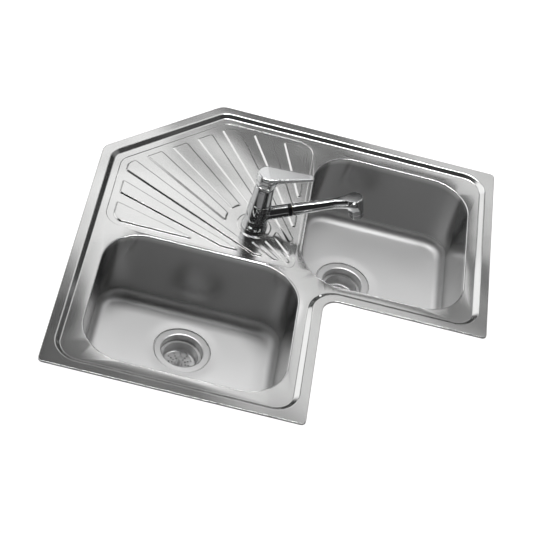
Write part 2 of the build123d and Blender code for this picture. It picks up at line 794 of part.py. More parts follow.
# ---------------------------------------------------------------- tap mounting
with BuildPart() as base_gasket:
    revolve(profile(ring(tap_hole_radius, plate_radius - gasket_rise, 0, gasket_rise), *tap_at),
            axis=tap_axis)
base_gasket.part.label = "base_gasket"
export_step(base_gasket.part, "parts/base_gasket.step")

with BuildPart() as base_plate:
    revolve(profile([
        (shank_radius + shank_clearance, gasket_rise),
        (plate_radius, gasket_rise),
        (plate_radius, plate_height - gasket_rise),
        (plate_radius - gasket_rise, plate_height),
        (shank_radius + shank_clearance, plate_height),
    ], *tap_at), axis=tap_axis)
base_plate.part.label = "base_plate"
export_step(base_plate.part, "parts/base_plate.step")

with BuildPart() as threaded_shank:
    shank_low = -sheet - shank_below_deck
    revolve(profile([
        (hose_bore, shank_low),
        (shank_radius, shank_low),
        (shank_radius, plate_height),
        (shank_joint_radius, plate_height),
        (shank_joint_radius, plate_height + shank_joint_length),
        (hose_bore, plate_height + shank_joint_length),
    ], *tap_at), axis=tap_axis)
threaded_shank.part.label = "threaded_shank"
export_step(threaded_shank.part, "parts/threaded_shank.step")

stiffener_low = -sheet - stiffener_thick
with BuildPart() as tap_stiffener:
    revolve(profile(ring(tap_hole_radius, stiffener_radius, stiffener_low, -sheet), *tap_at),
            axis=tap_axis)
tap_stiffener.part.label = "tap_stiffener"
export_step(tap_stiffener.part, "parts/tap_stiffener.step")

rubber_low = stiffener_low - washer_thick
with BuildPart() as rubber_washer:
    revolve(profile(ring(tap_hole_radius, washer_radius, rubber_low, stiffener_low), *tap_at), axis=tap_axis)
rubber_washer.part.label = "rubber_washer"
export_step(rubber_washer.part, "parts/rubber_washer.step")

steel_low = rubber_low - washer_thick
with BuildPart() as steel_washer:
    revolve(profile(ring(tap_hole_radius, washer_radius, steel_low, rubber_low), *tap_at), axis=tap_axis)
steel_washer.part.label = "steel_washer"
export_step(steel_washer.part, "parts/steel_washer.step")

with BuildPart() as mounting_nut:
    with BuildSketch(above(steel_low - nut_height)):
        RegularPolygon(nut_flats / 2, 6, major_radius=False)
        Circle(shank_radius + running_gap, mode=Mode.SUBTRACT)
    extrude(amount=nut_height)
mounting_nut.part.label = "mounting_nut"
export_step(mounting_nut.part, "parts/mounting_nut.step")

with BuildPart() as retaining_ring:
    revolve(profile([
        (spigot_radius + running_gap, plate_height),
        (plate_radius - gasket_rise, plate_height),
        (collar_bottom_radius, ring_height),
        (spigot_radius + running_gap, ring_height),
    ], *tap_at), axis=tap_axis)
retaining_ring.part.label = "retaining_ring"
export_step(retaining_ring.part, "parts/retaining_ring.step")

# ---------------------------------------------------------------- tap body
with BuildPart() as tap_body:
    revolve(profile([
        (shank_joint_radius + running_gap, plate_height),
        (spigot_radius, plate_height),
        (spigot_radius, housing_low),
        (housing_bottom_radius, housing_low),
        (housing_top_radius, housing_top),
        (cartridge_bore, housing_top),
        (cartridge_bore, cartridge_low),
        (0, cartridge_low),
        (0, housing_low),
        (hose_bore, housing_low),
        (hose_bore, plate_height + shank_joint_length),
        (shank_joint_radius + running_gap, plate_height + shank_joint_length),
    ], *tap_at), axis=tap_axis)
    # the window that the spray hose comes through
    with BuildSketch(above(window_low)):
        with BuildLine():
            sweep_arc = CenterArc((0, 0), collar_bore, window_from, window_to - window_from)
            Polyline(sweep_arc @ 1, (0, 0), sweep_arc @ 0)
        make_face()
    extrude(amount=window_high - window_low, mode=Mode.SUBTRACT)
    # hot, outlet and cold threads, with their ports up to the cartridge
    with Locations(above(housing_low)):
        with PolarLocations(inlet_circle, 3, start_angle=60):
            Cylinder(inlet_radius, inlet_length, align=(Align.CENTER, Align.CENTER, Align.MIN),
                     mode=Mode.SUBTRACT)
            Cylinder(port_radius, housing_floor, align=(Align.CENTER, Align.CENTER, Align.MIN),
                     mode=Mode.SUBTRACT)
tap_body.part.label = "tap_body"
export_step(tap_body.part, "parts/tap_body.step")

for name, bush_low in (("lower", ring_height), ("upper", housing_low - bush_height)):
    with BuildPart() as bush:
        revolve(profile(ring(spigot_radius + running_gap, collar_bore - running_gap,
                             bush_low, bush_low + bush_height), *tap_at), axis=tap_axis)
    bush.part.label = f"{name}_swivel_bush"
    export_step(bush.part, f"parts/{name}_swivel_bush.step")

# ---------------------------------------------------------------- spout collar
with BuildPart() as spout_collar:
    with BuildSketch(station(0)):
        Circle(stub_root_radius)
    with BuildSketch(station(stub_end)):
        Circle(stub_end_radius)
    loft()
    revolve(profile([
        (0, collar_low),
        (collar_bottom_radius, collar_low),
        (collar_top_radius, collar_top),
        (0, collar_top),
    ], *tap_at), axis=tap_axis)
    with Locations(above(collar_low)):
        Cylinder(2 * collar_bottom_radius, 2 * ring_height,
                 align=(Align.CENTER, Align.CENTER, Align.MAX), mode=Mode.SUBTRACT)
        Cylinder(collar_bore, collar_top, align=(Align.CENTER, Align.CENTER, Align.MIN),
                 mode=Mode.SUBTRACT)
    with Locations(station(0)):
        Cylinder(stub_bore, stub_end, align=(Align.CENTER, Align.CENTER, Align.MIN),
                 mode=Mode.SUBTRACT)
spout_collar.part.label = "spout_collar"
export_step(spout_collar.part, "parts/spout_collar.step")

with BuildPart() as docking_ring:
    with Locations(station(stub_end)):
        Cylinder(stub_end_radius, dock_ring, align=(Align.CENTER, Align.CENTER, Align.MIN))
        Cylinder(stub_bore - running_gap, dock_sleeve, align=(Align.CENTER, Align.CENTER, Align.MAX))
        Cylinder(dock_bore, 2 * (dock_sleeve + dock_ring), mode=Mode.SUBTRACT)
docking_ring.part.label = "docking_ring"
export_step(docking_ring.part, "parts/docking_ring.step")

# ---------------------------------------------------------------- handset
with BuildPart() as handset_shell:
    with Locations(head_level(-head_below)):
        Cylinder(head_radius, head_below + head_top, align=(Align.CENTER, Align.CENTER, Align.MIN))
    with BuildSketch(station(handset_start)):
        Circle(grip_root_radius)
    with BuildSketch(station(grip_neck_at)):
        Circle(grip_neck_radius)
    loft()
    # the neck swells from the round grip to the head
    for share in (0, 0.5, 1):
        low = -grip_neck_radius + share * (grip_neck_radius - neck_below)
        high = grip_neck_radius + share * (head_top - grip_neck_radius)
        half_width = grip_neck_radius + share * (head_radius - sheet / 2 - grip_neck_radius)
        with BuildSketch(station(grip_neck_at + share * (head_at - grip_neck_at))):
            with Locations((0, (low + high) / 2)):
                Ellipse(half_width, (high - low) / 2)
    loft()
    # the sloping flat on top
    with BuildSketch(Plane(station(0).origin, x_dir=along_spout, z_dir=sideways * -1)):
        with BuildLine():
            Polyline(
                (flat_from, flat_start_height),
                (head_at + head_radius, flat_end_height),
                (head_at + 2 * head_radius, flat_end_height),
                (head_at + 2 * head_radius, 2 * head_top),
                (flat_from, 2 * head_top),
                close=True,
            )
        make_face()
    extrude(amount=2 * head_radius, both=True, mode=Mode.SUBTRACT)
    # waterway and the chamber above the nozzle
    with Locations(station(handset_start)):
        Cylinder(connector_radius + running_gap, connector_length,
                 align=(Align.CENTER, Align.CENTER, Align.MIN), mode=Mode.SUBTRACT)
    with Locations(station(handset_start + connector_length)):
        Cylinder(grip_bore, grip_neck_at - handset_start - connector_length,
                 align=(Align.CENTER, Align.CENTER, Align.MIN), mode=Mode.SUBTRACT)
    with Locations(station(grip_neck_at)):
        Cylinder(neck_bore, head_at - grip_neck_at,
                 align=(Align.CENTER, Align.CENTER, Align.MIN), mode=Mode.SUBTRACT)
    with Locations(head_level(-head_below)):
        Cylinder(head_chamber_radius, head_below + head_chamber_top,
                 align=(Align.CENTER, Align.CENTER, Align.MIN), mode=Mode.SUBTRACT)
handset_shell.part.label = "handset_shell"
export_step(handset_shell.part, "parts/handset_shell.step")

with BuildPart() as handset_connector:
    with Locations(station(handset_start)):
        Cylinder(tail_radius, tail_inside, align=(Align.CENTER, Align.CENTER, Align.MAX))
        Cylinder(connector_radius, connector_length, align=(Align.CENTER, Align.CENTER, Align.MIN))
        Cylinder(waterway_radius, 2 * (tail_inside + connector_length), mode=Mode.SUBTRACT)
    with Locations(station(handset_start - tail_inside)):
        Cylinder(inlet_radius, inlet_length, align=(Align.CENTER, Align.CENTER, Align.MIN),
                 mode=Mode.SUBTRACT)
handset_connector.part.label = "handset_connector"
export_step(handset_connector.part, "parts/handset_connector.step")

with BuildPart() as nozzle_ring:
    with Locations(head_level(-head_below)):
        Cylinder(nozzle_radius, nozzle_length, align=(Align.CENTER, Align.CENTER, Align.MAX))
        Cylinder(head_chamber_radius - running_gap, nozzle_screw_in,
                 align=(Align.CENTER, Align.CENTER, Align.MIN))
        Cylinder(nozzle_bore, 2 * (nozzle_length + nozzle_screw_in), mode=Mode.SUBTRACT)
    with Locations(head_level(-head_below - nozzle_length)):
        Cylinder(spray_radius + running_gap, spray_recess + spray_thick,
                 align=(Align.CENTER, Align.CENTER, Align.MIN), mode=Mode.SUBTRACT)
nozzle_ring.part.label = "nozzle_ring"
export_step(nozzle_ring.part, "parts/nozzle_ring.step")

with BuildPart() as spray_face:
    with Locations(head_level(-head_below - nozzle_length + spray_recess)):
        Cylinder(spray_radius, spray_thick, align=(Align.CENTER, Align.CENTER, Align.MIN))
        for ring_share, holes in ((0.3, 6), (0.6, 12)):
            with PolarLocations(ring_share * spray_radius, holes):
                Cylinder(spray_hole_radius, 3 * spray_thick, mode=Mode.SUBTRACT)
spray_face.part.label = "spray_face"
export_step(spray_face.part, "parts/spray_face.step")

# ---------------------------------------------------------------- cartridge
with BuildPart() as cartridge_base:
    with Locations(above(cartridge_low)):
        Cylinder(cartridge_radius, cartridge_floor, align=(Align.CENTER, Align.CENTER, Align.MIN))
        with PolarLocations(inlet_circle, 3, start_angle=60):
            Cylinder(port_radius, 3 * cartridge_floor, mode=Mode.SUBTRACT)
cartridge_base.part.label = "cartridge_base"
export_step(cartridge_base.part, "parts/cartridge_base.step")

with BuildPart() as cartridge_body:
    revolve(profile([
        (cavity_radius, disc_low),
        (cartridge_radius, disc_low),
        (cartridge_radius, cartridge_top),
        (cartridge_neck_radius, cartridge_top),
        (cartridge_neck_radius, cartridge_top + cartridge_neck_height),
        (carrier_neck_radius + carrier_gap, cartridge_top + cartridge_neck_height),
        (carrier_neck_radius + carrier_gap, cavity_top),
        (cavity_radius, cavity_top),
    ], *tap_at), axis=tap_axis)
cartridge_body.part.label = "cartridge_body"
export_step(cartridge_body.part, "parts/cartridge_body.step")

with BuildPart() as fixed_disc:
    with Locations(above(disc_low)):
        Cylinder(disc_radius, disc_thick, align=(Align.CENTER, Align.CENTER, Align.MIN))
        with PolarLocations(inlet_circle, 3, start_angle=60):
            Cylinder(port_radius, 3 * disc_thick, mode=Mode.SUBTRACT)
fixed_disc.part.label = "fixed_disc"
export_step(fixed_disc.part, "parts/fixed_disc.step")

with BuildPart() as moving_disc:
    with Locations(above(moving_disc_low)):
        with Locations((-disc_shift, 0)):
            Cylinder(moving_disc_radius, disc_thick, align=(Align.CENTER, Align.CENTER, Align.MIN))
            Cylinder(disc_recess_radius, 2 * disc_recess, mode=Mode.SUBTRACT)
moving_disc.part.label = "moving_disc"
export_step(moving_disc.part, "parts/moving_disc.step")

with BuildPart() as disc_driver:
    with Locations(above(driver_low)):
        with Locations((-disc_shift, 0)):
            Cylinder(driver_radius, driver_height, align=(Align.CENTER, Align.CENTER, Align.MIN))
    with Locations(above(driver_top)):
        Cylinder(stem_ball_radius + stem_gap, driver_height,
                 align=(Align.CENTER, Align.CENTER, Align.MAX), mode=Mode.SUBTRACT)
disc_driver.part.label = "disc_driver"
export_step(disc_driver.part, "parts/disc_driver.step")

with BuildPart() as lever_carrier:
    revolve(profile([
        (0, carrier_low),
        (carrier_radius, carrier_low),
        (carrier_radius, carrier_shoulder),
        (carrier_neck_radius, carrier_shoulder),
        (carrier_neck_radius, carrier_top),
        (0, carrier_top),
    ], *tap_at), axis=tap_axis)
    # the slot that the stem swings in: its place with the lever down, and with it lifted
    with BuildSketch(lengthwise(pivot_height)):
        Rectangle(stem_size + 2 * stem_gap, 2 * carrier_top)
        Rectangle(stem_size + 2 * stem_gap, 2 * carrier_top, rotation=lift_angle)
    extrude(amount=stem_size / 2 + stem_gap, both=True, mode=Mode.SUBTRACT)
    with BuildSketch(lengthwise(pivot_height)):
        Circle(pin_radius)
    extrude(amount=carrier_radius, both=True, mode=Mode.SUBTRACT)
lever_carrier.part.label = "lever_carrier"
export_step(lever_carrier.part, "parts/lever_carrier.step")

with BuildPart() as carrier_pin:
    with BuildSketch(lengthwise(pivot_height)):
        Circle(pin_radius)
    extrude(amount=carrier_neck_radius - carrier_gap, both=True)
carrier_pin.part.label = "carrier_pin"
export_step(carrier_pin.part, "parts/carrier_pin.step")

with BuildPart() as cartridge_nut:
    revolve(profile(ring(cartridge_neck_radius + running_gap, cartridge_bore - running_gap,
                         cartridge_top, nut_top), *tap_at), axis=tap_axis)
    with Locations(above(nut_top)):
        with PolarLocations(cartridge_bore, 6):
            Box(nut_slot, nut_slot, nut_slot, mode=Mode.SUBTRACT)
cartridge_nut.part.label = "cartridge_nut"
export_step(cartridge_nut.part, "parts/cartridge_nut.step")

with BuildPart() as dome_cap:
    with BuildSketch(lengthwise(pivot_height)):
        Circle(cap_radius)
        Circle(cap_radius - cap_wall, mode=Mode.SUBTRACT)
        with Locations((cap_opening, housing_top - pivot_height)):
            Rectangle(cap_radius, 2 * cap_radius, align=(Align.MIN, Align.MIN), mode=Mode.INTERSECT)
    revolve(axis=tap_axis)
dome_cap.part.label = "dome_cap"
export_step(dome_cap.part, "parts/dome_cap.step")

# ---------------------------------------------------------------- lever
arm_length = lever_reach - lever_tip_width / 2
skirt_foot = math.sqrt(skirt_radius ** 2 - (skirt_bottom - pivot_height) ** 2)
flare_low = skirt_bottom + sheet
socket = stem_size / 2 + running_gap

with BuildPart() as lever:
    revolve(profile([
        (0, skirt_bottom),
        (skirt_foot, skirt_bottom),
        (lever_head_radius, lever_head_low),
        (lever_head_radius, lever_top),
        (0, lever_top),
    ], *tap_at), axis=tap_axis)
    fillet(lever.faces().sort_by(Axis.Z)[-1].edges(), lever_head_rounding)
    # the arm: upright ellipses, which close to a round end at the tip
    arm_stations = [arm_length * share for share in (0, 0.3, 0.6, 1)]
    tip_stations = [arm_length + lever_tip_width / 2 * share for share in (0.6, 0.9, 0.99)]
    for distance in arm_stations + tip_stations:
        share = min(distance / arm_length, 1)
        half_width = (lever_root_width + share * (lever_tip_width - lever_root_width)) / 2
        half_thick = (lever_root_thick + math.sqrt(share) * (lever_tip_thick - lever_root_thick)) / 2
        beyond = max(distance - arm_length, 0) / half_width
        rounding = math.sqrt(1 - beyond ** 2)
        level = lever_top - running_gap - share * lever_drop - half_thick
        with BuildSketch(upright(distance, level)):
            Ellipse(half_width * rounding, half_thick * rounding)
    loft()
    # the flare: level ellipses that stretch forward below the arm
    for share in (0, 0.35, 0.7, 1):
        front = skirt_foot + share ** 2 * (flare_reach - skirt_foot)
        with BuildSketch(above(flare_low + share * (flare_top - flare_low))):
            with Locations(((front - stem_size) / 2, 0)):
                Ellipse((front + stem_size) / 2, flare_width / 2)
    loft()
    # the hollow over the dome, the stem's socket and the grub screw's hole
    with Locations(above(pivot_height)):
        Sphere(cap_radius + skirt_gap, mode=Mode.SUBTRACT)
    with Locations(above(pivot_height)):
        Box(2 * socket, 2 * socket, stem_top - pivot_height,
            align=(Align.CENTER, Align.CENTER, Align.MIN), mode=Mode.SUBTRACT)
    with BuildSketch(upright(0, grub_height)):
        Circle(grub_radius)
    extrude(amount=-2 * lever_head_radius, mode=Mode.SUBTRACT)
lever.part.label = "lever"
export_step(lever.part, "parts/lever.step")

with BuildPart() as lever_stem:
    with Locations(above(stem_low)):
        Box(stem_size, stem_size, stem_top - stem_low, align=(Align.CENTER, Align.CENTER, Align.MIN))
        Cylinder(stem_neck_radius, stem_low - ball_height, align=(Align.CENTER, Align.CENTER, Align.MAX))
    with Locations(above(ball_height)):
        Sphere(stem_ball_radius)
    with BuildSketch(lengthwise(pivot_height)):
        Circle(pin_radius + running_gap)
    extrude(amount=stem_size, both=True, mode=Mode.SUBTRACT)
lever_stem.part.label = "lever_stem"
export_step(lever_stem.part, "parts/lever_stem.step")

with BuildPart() as grub_screw:
    with BuildSketch(upright(-stem_size / 2, grub_height)):
        Circle(grub_radius - running_gap)
    extrude(amount=-grub_length)
    with BuildSketch(upright(-stem_size / 2 - grub_length, grub_height)):
        RegularPolygon(grub_radius / 2, 6)
    extrude(amount=grub_length / 3, mode=Mode.SUBTRACT)
grub_screw.part.label = "grub_screw"
export_step(grub_screw.part, "parts/grub_screw.step")
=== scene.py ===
# %% [markdown]
# # Corner kitchen sink
# A stainless steel sink for the corner of a kitchen: two pressed bowls, a fan-shaped drainer
# between them and a chrome lever tap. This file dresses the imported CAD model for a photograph-like
# render. It keeps the frame of the CAD model: +X runs to the right along the front edges, +Y to the
# back, and z = 0 is the worktop that the sink's rim rests on. We start by loading the model.

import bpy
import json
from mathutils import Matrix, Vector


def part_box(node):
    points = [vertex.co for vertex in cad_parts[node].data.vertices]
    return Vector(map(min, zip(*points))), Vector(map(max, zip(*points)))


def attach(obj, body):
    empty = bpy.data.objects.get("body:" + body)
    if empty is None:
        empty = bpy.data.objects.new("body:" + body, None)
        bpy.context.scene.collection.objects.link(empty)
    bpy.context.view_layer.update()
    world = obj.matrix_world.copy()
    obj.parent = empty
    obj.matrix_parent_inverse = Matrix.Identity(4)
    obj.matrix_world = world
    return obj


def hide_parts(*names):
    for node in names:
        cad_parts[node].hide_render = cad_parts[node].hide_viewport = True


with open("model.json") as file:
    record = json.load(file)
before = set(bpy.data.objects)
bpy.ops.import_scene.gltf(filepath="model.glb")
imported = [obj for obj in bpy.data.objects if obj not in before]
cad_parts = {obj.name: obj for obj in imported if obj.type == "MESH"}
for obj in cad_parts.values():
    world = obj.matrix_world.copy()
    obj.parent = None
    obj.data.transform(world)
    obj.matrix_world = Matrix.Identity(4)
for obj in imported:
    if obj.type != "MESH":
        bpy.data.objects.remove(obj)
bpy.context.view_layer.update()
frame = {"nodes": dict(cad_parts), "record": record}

# %% [markdown]
# Blender's own module is bpy. We also need numpy for shapes that are worked out as arrays of
# points, and mathutils for single vectors and turns. Shapes are worked out in millimetres, as on a
# drawing, and `MM` turns them into Blender's metres when a mesh is made.

# %% Tools and the scene
import json
import math

import bpy
import numpy as np
from mathutils import Matrix, Vector
from mathutils.geometry import delaunay_2d_cdt

scene = bpy.context.scene
scene.view_settings.view_transform = "Standard"
MM = 0.001
print("Blender", bpy.app.version_string)

# %% [markdown]
# ## Camera
# The sink is seen from the front and well above, through a long lens, and the camera is tipped over
# to the left by 17 degrees, so the sink lies askew in a square picture. A camera's turn is easiest
# to give as three axes: where it looks, which way is up, and to the right, which is their cross
# product.

# %% Camera
eye = Vector((-0.309459, -2.341494, 2.306546))
looks_along = Vector((0.05597, 0.71886, -0.69290)).normalized()
up = Vector((-0.24068, 0.68324, 0.68939))
right = looks_along.cross(up).normalized()
up = right.cross(looks_along)

camera_data = bpy.data.cameras.new("camera")
camera_data.sensor_width = 36
camera_data.lens = 113.7046
camera_data.clip_end = 100
camera = bpy.data.objects.new("camera", camera_data)
turn = Matrix((right, up, -looks_along)).transposed()
camera.matrix_world = Matrix.Translation(eye) @ turn.to_4x4()
scene.collection.objects.link(camera)
scene.camera = camera
print("camera", round(eye.length, 2), "m from the corner of the notch")

# %% [markdown]
# ## Shapes: outlines and sections
# A pressed sheet is flat almost everywhere, and what one sees of it are its bends. A plain
# extrusion would have sharp creases, which no press can make and which catch no light. So the
# visible sheets are built here from outlines: a closed outline is repeated side by side at small
# steps, each copy at its own height, and neighbours are joined by a strip of faces. The first
# helper rounds the corners of a polygon, or of an open line, each with its own radius. A section is
# such an open line: it says how high the sheet is at each distance from an outline.

# %% Round corners
def round_corners(corners, radii, steps, closed=True):
    """Points in mm along a polygon or an open line, with an arc at each corner."""
    points = [Vector(c) for c in corners]
    line = []
    for i, (here, radius) in enumerate(zip(points, radii)):
        if radius == 0 or (not closed and i in (0, len(points) - 1)):
            line.append(here)
            continue
        back = (points[i - 1] - here).normalized()
        ahead = (points[(i + 1) % len(points)] - here).normalized()
        half = back.angle(ahead) / 2
        centre = here + (back + ahead).normalized() * (radius / math.sin(half))
        start = here + back * (radius / math.tan(half)) - centre
        turn = math.pi - 2 * half
        if back.x * ahead.y - back.y * ahead.x > 0:
            turn = -turn
        for k in range(steps + 1):
            a = turn * k / steps
            line.append(centre + Vector((start.x * math.cos(a) - start.y * math.sin(a),
                                         start.x * math.sin(a) + start.y * math.cos(a))))
    return np.array(line)


def section(corners, radii, steps):
    """A bent section as (distance, height) pairs in mm."""
    return round_corners(corners, radii, steps, closed=False)


test = round_corners([(0, 0), (40, 0), (40, 30), (0, 30)], [5, 5, 5, 5], 8)
print("rounded rectangle:", len(test), "points, x up to", test[:, 0].max().round(3))

# %% [markdown]
# The next helper moves an outline inwards by a distance. Each point slides along the middle of its
# two edges' normals, so arcs stay arcs about the same centre, and the copies have as many points as
# the first, which is what lets them be joined one to one.

# %% Move an outline inwards
def inward(outline, distance):
    """The outline moved in by a distance in mm. It runs counterclockwise."""
    before = outline - np.roll(outline, 1, axis=0)
    after = np.roll(outline, -1, axis=0) - outline
    normals = []
    for edge in (before, after):
        edge = edge / np.linalg.norm(edge, axis=1)[:, None]
        normals.append(np.stack([-edge[:, 1], edge[:, 0]], axis=1))
    facing = (normals[0] * normals[1]).sum(axis=1)[:, None]
    return outline + (normals[0] + normals[1]) * (distance / (1 + facing))


print("moved in by 3 mm: x from", inward(test, 3)[:, 0].min().round(3))

# %% [markdown]
# Everything that is built here becomes a mesh object in the same way. Its faces are shaded smooth,
# and a Weighted Normal modifier can keep flat areas flat, so that only the bends are shaded as
# bends.

# %% Mesh objects
def mesh_object(name, points, faces):
    """A smooth mesh object from points in mm and faces."""
    mesh = bpy.data.meshes.new(name)
    mesh.from_pydata([tuple(map(float, p)) for p in np.array(points) * MM], [],
                     [tuple(map(int, f)) for f in faces])
    mesh.polygons.foreach_set("use_smooth", [True] * len(mesh.polygons))
    mesh.update()
    obj = bpy.data.objects.new(name, mesh)
    scene.collection.objects.link(obj)
    return obj


def keep_flats(obj):
    """Keeps flat areas flat beside smooth bends."""
    obj.modifiers.new("flat areas stay flat", "WEIGHTED_NORMAL").weight = 100


print("mesh helpers ready")

# %% [markdown]
# A sheet collects points and faces. Its `strip` follows a section: it adds one outline for each
# point of it and joins neighbours. Its `fill` closes the flat area between one outline and the
# holes in it: it makes triangles between all the points and keeps those from which a line to the
# right crosses an odd number of outlines. At the end, Solidify gives the sheet its thickness
# downwards.

# %% Sheet builder
SHEET_THICKNESS = 1.0


class Sheet:
    """A pressed sheet in the making: outlines at their heights, and the faces between them."""

    def __init__(self):
        self.points, self.faces = [], []

    def loop(self, outline, height):
        """Adds one outline at one height, and returns its points' numbers."""
        first = len(self.points)
        self.points += [(x, y, height) for x, y in outline]
        return list(range(first, first + len(outline)))

    def join(self, a, b):
        """A strip of faces from loop a to loop b, which lies inside it or below it."""
        for i in range(len(a)):
            j = (i + 1) % len(a)
            self.faces.append((a[i], a[j], b[j], b[i]))

    def strip(self, ring, section_line):
        """Adds the outlines that ring(distance, height) gives. Returns the first and last loop."""
        loops = [self.loop(ring(d, z), z) for d, z in section_line]
        for a, b in zip(loops, loops[1:]):
            self.join(a, b)
        return loops[0], loops[-1]

    def strip_inward(self, outline, section_line):
        """A strip whose outlines are copies of one outline, moved in."""
        return self.strip(lambda distance, _: inward(outline, distance), section_line)

    def fill(self, border, holes=()):
        """Flat faces between a border loop and hole loops."""
        lines = [border, *holes]
        numbers = [n for line in lines for n in line]
        flat = np.array([self.points[n][:2] for n in numbers])
        edges = []
        for line in lines:
            first = len(edges)
            edges += [(first + i, first + (i + 1) % len(line)) for i in range(len(line))]
        cut = delaunay_2d_cdt([Vector(p) for p in flat], edges, [], 0, 1e-6, True)
        triangles, given = cut[2], cut[3]
        starts, ends = flat[[a for a, _ in edges]], flat[[b for _, b in edges]]
        for triangle in triangles:
            corners = [given[v][0] for v in triangle if given[v]]
            x, y = flat[corners].mean(axis=0)
            spans = (starts[:, 1] > y) != (ends[:, 1] > y)
            a, b = starts[spans], ends[spans]
            right_of = a[:, 0] + (y - a[:, 1]) / (b[:, 1] - a[:, 1]) * (b[:, 0] - a[:, 0]) > x
            if len(corners) == 3 and right_of.sum() % 2:
                self.faces.append(tuple(numbers[c] for c in corners))

    def finish(self, name):
        """Makes the object, with its thickness below it."""
        obj = mesh_object(name, self.points, self.faces)
        wall = obj.modifiers.new("thickness", "SOLIDIFY")
        wall.thickness = SHEET_THICKNESS * MM
        wall.offset = -1
        wall.use_even_offset = True
        keep_flats(obj)
        print(name, len(self.points), "points,", len(self.faces), "faces")
        return obj


print("sheet builder ready")

# %% [markdown]
# ## Deck panel
# On the real sink this is one sheet of stainless steel. Its rim lies on the worktop, a step leads
# down to the deck, and the drainer is pressed a little lower still. We could replace only the
# creases, but it is simpler to lay the whole sheet out anew, with the CAD model's own sizes. The
# outline is an L with one corner cut off. We give its corners once, at the outer edge and at the
# top of the step.

# %% Outline of the sink
LEFT, FRONT, RIGHT, BACK, CUT = -500.0, -330.0, 330.0, 500.0, 220.0
CUT_SLANT = math.sqrt(2) - 1
STEP_AT = 19.5
RIM_RADII = [10, 10, 32, 10, 10, 32, 32]
STEP_RADII = [49, 49, 51.5, 49, 49, 41, 41]
OUTLINE_ARC = 12


def sink_corners(inset):
    """The seven corners of the L, moved in by an inset, counterclockwise from the front left."""
    slant = inset * CUT_SLANT
    return [(LEFT + inset, FRONT + inset), (-inset, FRONT + inset), (-inset, inset),
            (RIGHT - inset, inset), (RIGHT - inset, BACK - inset),
            (LEFT + CUT + slant, BACK - inset), (LEFT + inset, BACK - CUT - slant)]


rim_outline = round_corners(sink_corners(0), RIM_RADII, OUTLINE_ARC)
step_outline = round_corners(sink_corners(STEP_AT), STEP_RADII, OUTLINE_ARC)
print("rim outline:", len(rim_outline), "points; step outline:", len(step_outline), "points")

# %% [markdown]
# We write a section's straight runs and let `round_corners` bend them. The rim turns down over 3.5
# mm to the worktop, and the step falls 7.5 mm over a run of 9 mm.

# %% Rim and step
RIM_TOP, DECK, FIELD, PLATFORM = 3.5, -4.0, -5.2, -3.7

deck = Sheet()
rim_section = section([(0, 0), (0, RIM_TOP), (4, RIM_TOP)], [0, 1.2, 0], 6)
step_section = section([(-4, RIM_TOP), (0, RIM_TOP), (9, DECK), (13, DECK)], [0, 5.5, 4.5, 0], 8)
_, rim_inside = deck.strip_inward(rim_outline, rim_section)
step_start, deck_edge = deck.strip_inward(step_outline, step_section)
deck.join(rim_inside, step_start)
print("rim and step:", len(deck.faces), "faces")

# %% [markdown]
# The drainer's border runs parallel to the sink's edges. Inside it the field lies 1.2 mm lower, and
# a round platform for the tap rises from it again.

# %% Drainer border and tap platform
BORDER_INSET, BORDER_FRONT = 42.5, 68.5
TAP = np.array([-231.0, 231.0]) / math.sqrt(2)
TAP_HOLE = 17.5


def drainer_corners(inset, front):
    """The drainer's five corners, at an inset from the sink's edges and beside both bowls."""
    slant = inset * CUT_SLANT
    return [(LEFT + inset, front), (-front, front), (-front, BACK - inset),
            (LEFT + CUT + slant, BACK - inset), (LEFT + inset, BACK - CUT - slant)]


def circle(centre, radius, count=128):
    """A round outline in mm, counterclockwise."""
    angles = np.arange(count) * 2 * math.pi / count
    return centre + radius * np.stack([np.cos(angles), np.sin(angles)], axis=1)


border_outline = round_corners(drainer_corners(BORDER_INSET, BORDER_FRONT), [36, 14, 36, 36, 36],
                               OUTLINE_ARC)
border_section = section([(-1.6, DECK), (-0.3, DECK), (0.6, FIELD), (1.9, FIELD)],
                         [0, 0.9, 0.9, 0], 5)
border_start, field_edge = deck.strip_inward(border_outline, border_section)

platform_section = section(
    [(38, FIELD), (35.8, FIELD), (33.8, PLATFORM), (TAP_HOLE, PLATFORM), (TAP_HOLE, FIELD)],
    [0, 1.8, 1.8, 0.8, 0], 6)
platform_start, _ = deck.strip(lambda radius, _: circle(TAP, radius), platform_section)
print("tap at", TAP.round(2), "mm")

# %% [markdown]
# The drainer's ribs are a fan of nine wedges. Each wedge is the part of a narrow sector, drawn from
# the notch's corner, that lies inside a smaller copy of the border. So we start with a long thin
# triangle and clip it by that frame's edges, one after the other. The outermost sectors are wide,
# so their outer sides follow the frame.

# %% Wedges of the fan
FAN_MIDDLE, FAN_STEP, FAN_HALF = 135, 7.55, 2.15
FAN_LAST, LAST_SPREAD = 4, 45
FAN_FRAME = drainer_corners(58, 80.5)
RAY_LENGTH = 900


def clip(polygon, a, b):
    """The part of a polygon that lies to the left of the line from a to b."""
    edge = Vector(b) - Vector(a)
    kept = []
    for here, after in zip(polygon, polygon[1:] + polygon[:1]):
        side_here = edge.x * (here.y - a[1]) - edge.y * (here.x - a[0])
        side_after = edge.x * (after.y - a[1]) - edge.y * (after.x - a[0])
        if side_here >= 0:
            kept.append(here)
        if side_here * side_after < 0:
            kept.append(here.lerp(after, side_here / (side_here - side_after)))
    return kept


def ray(degrees):
    """A line from the notch's corner."""
    angle = math.radians(degrees)
    return Vector((math.cos(angle), math.sin(angle))) * RAY_LENGTH


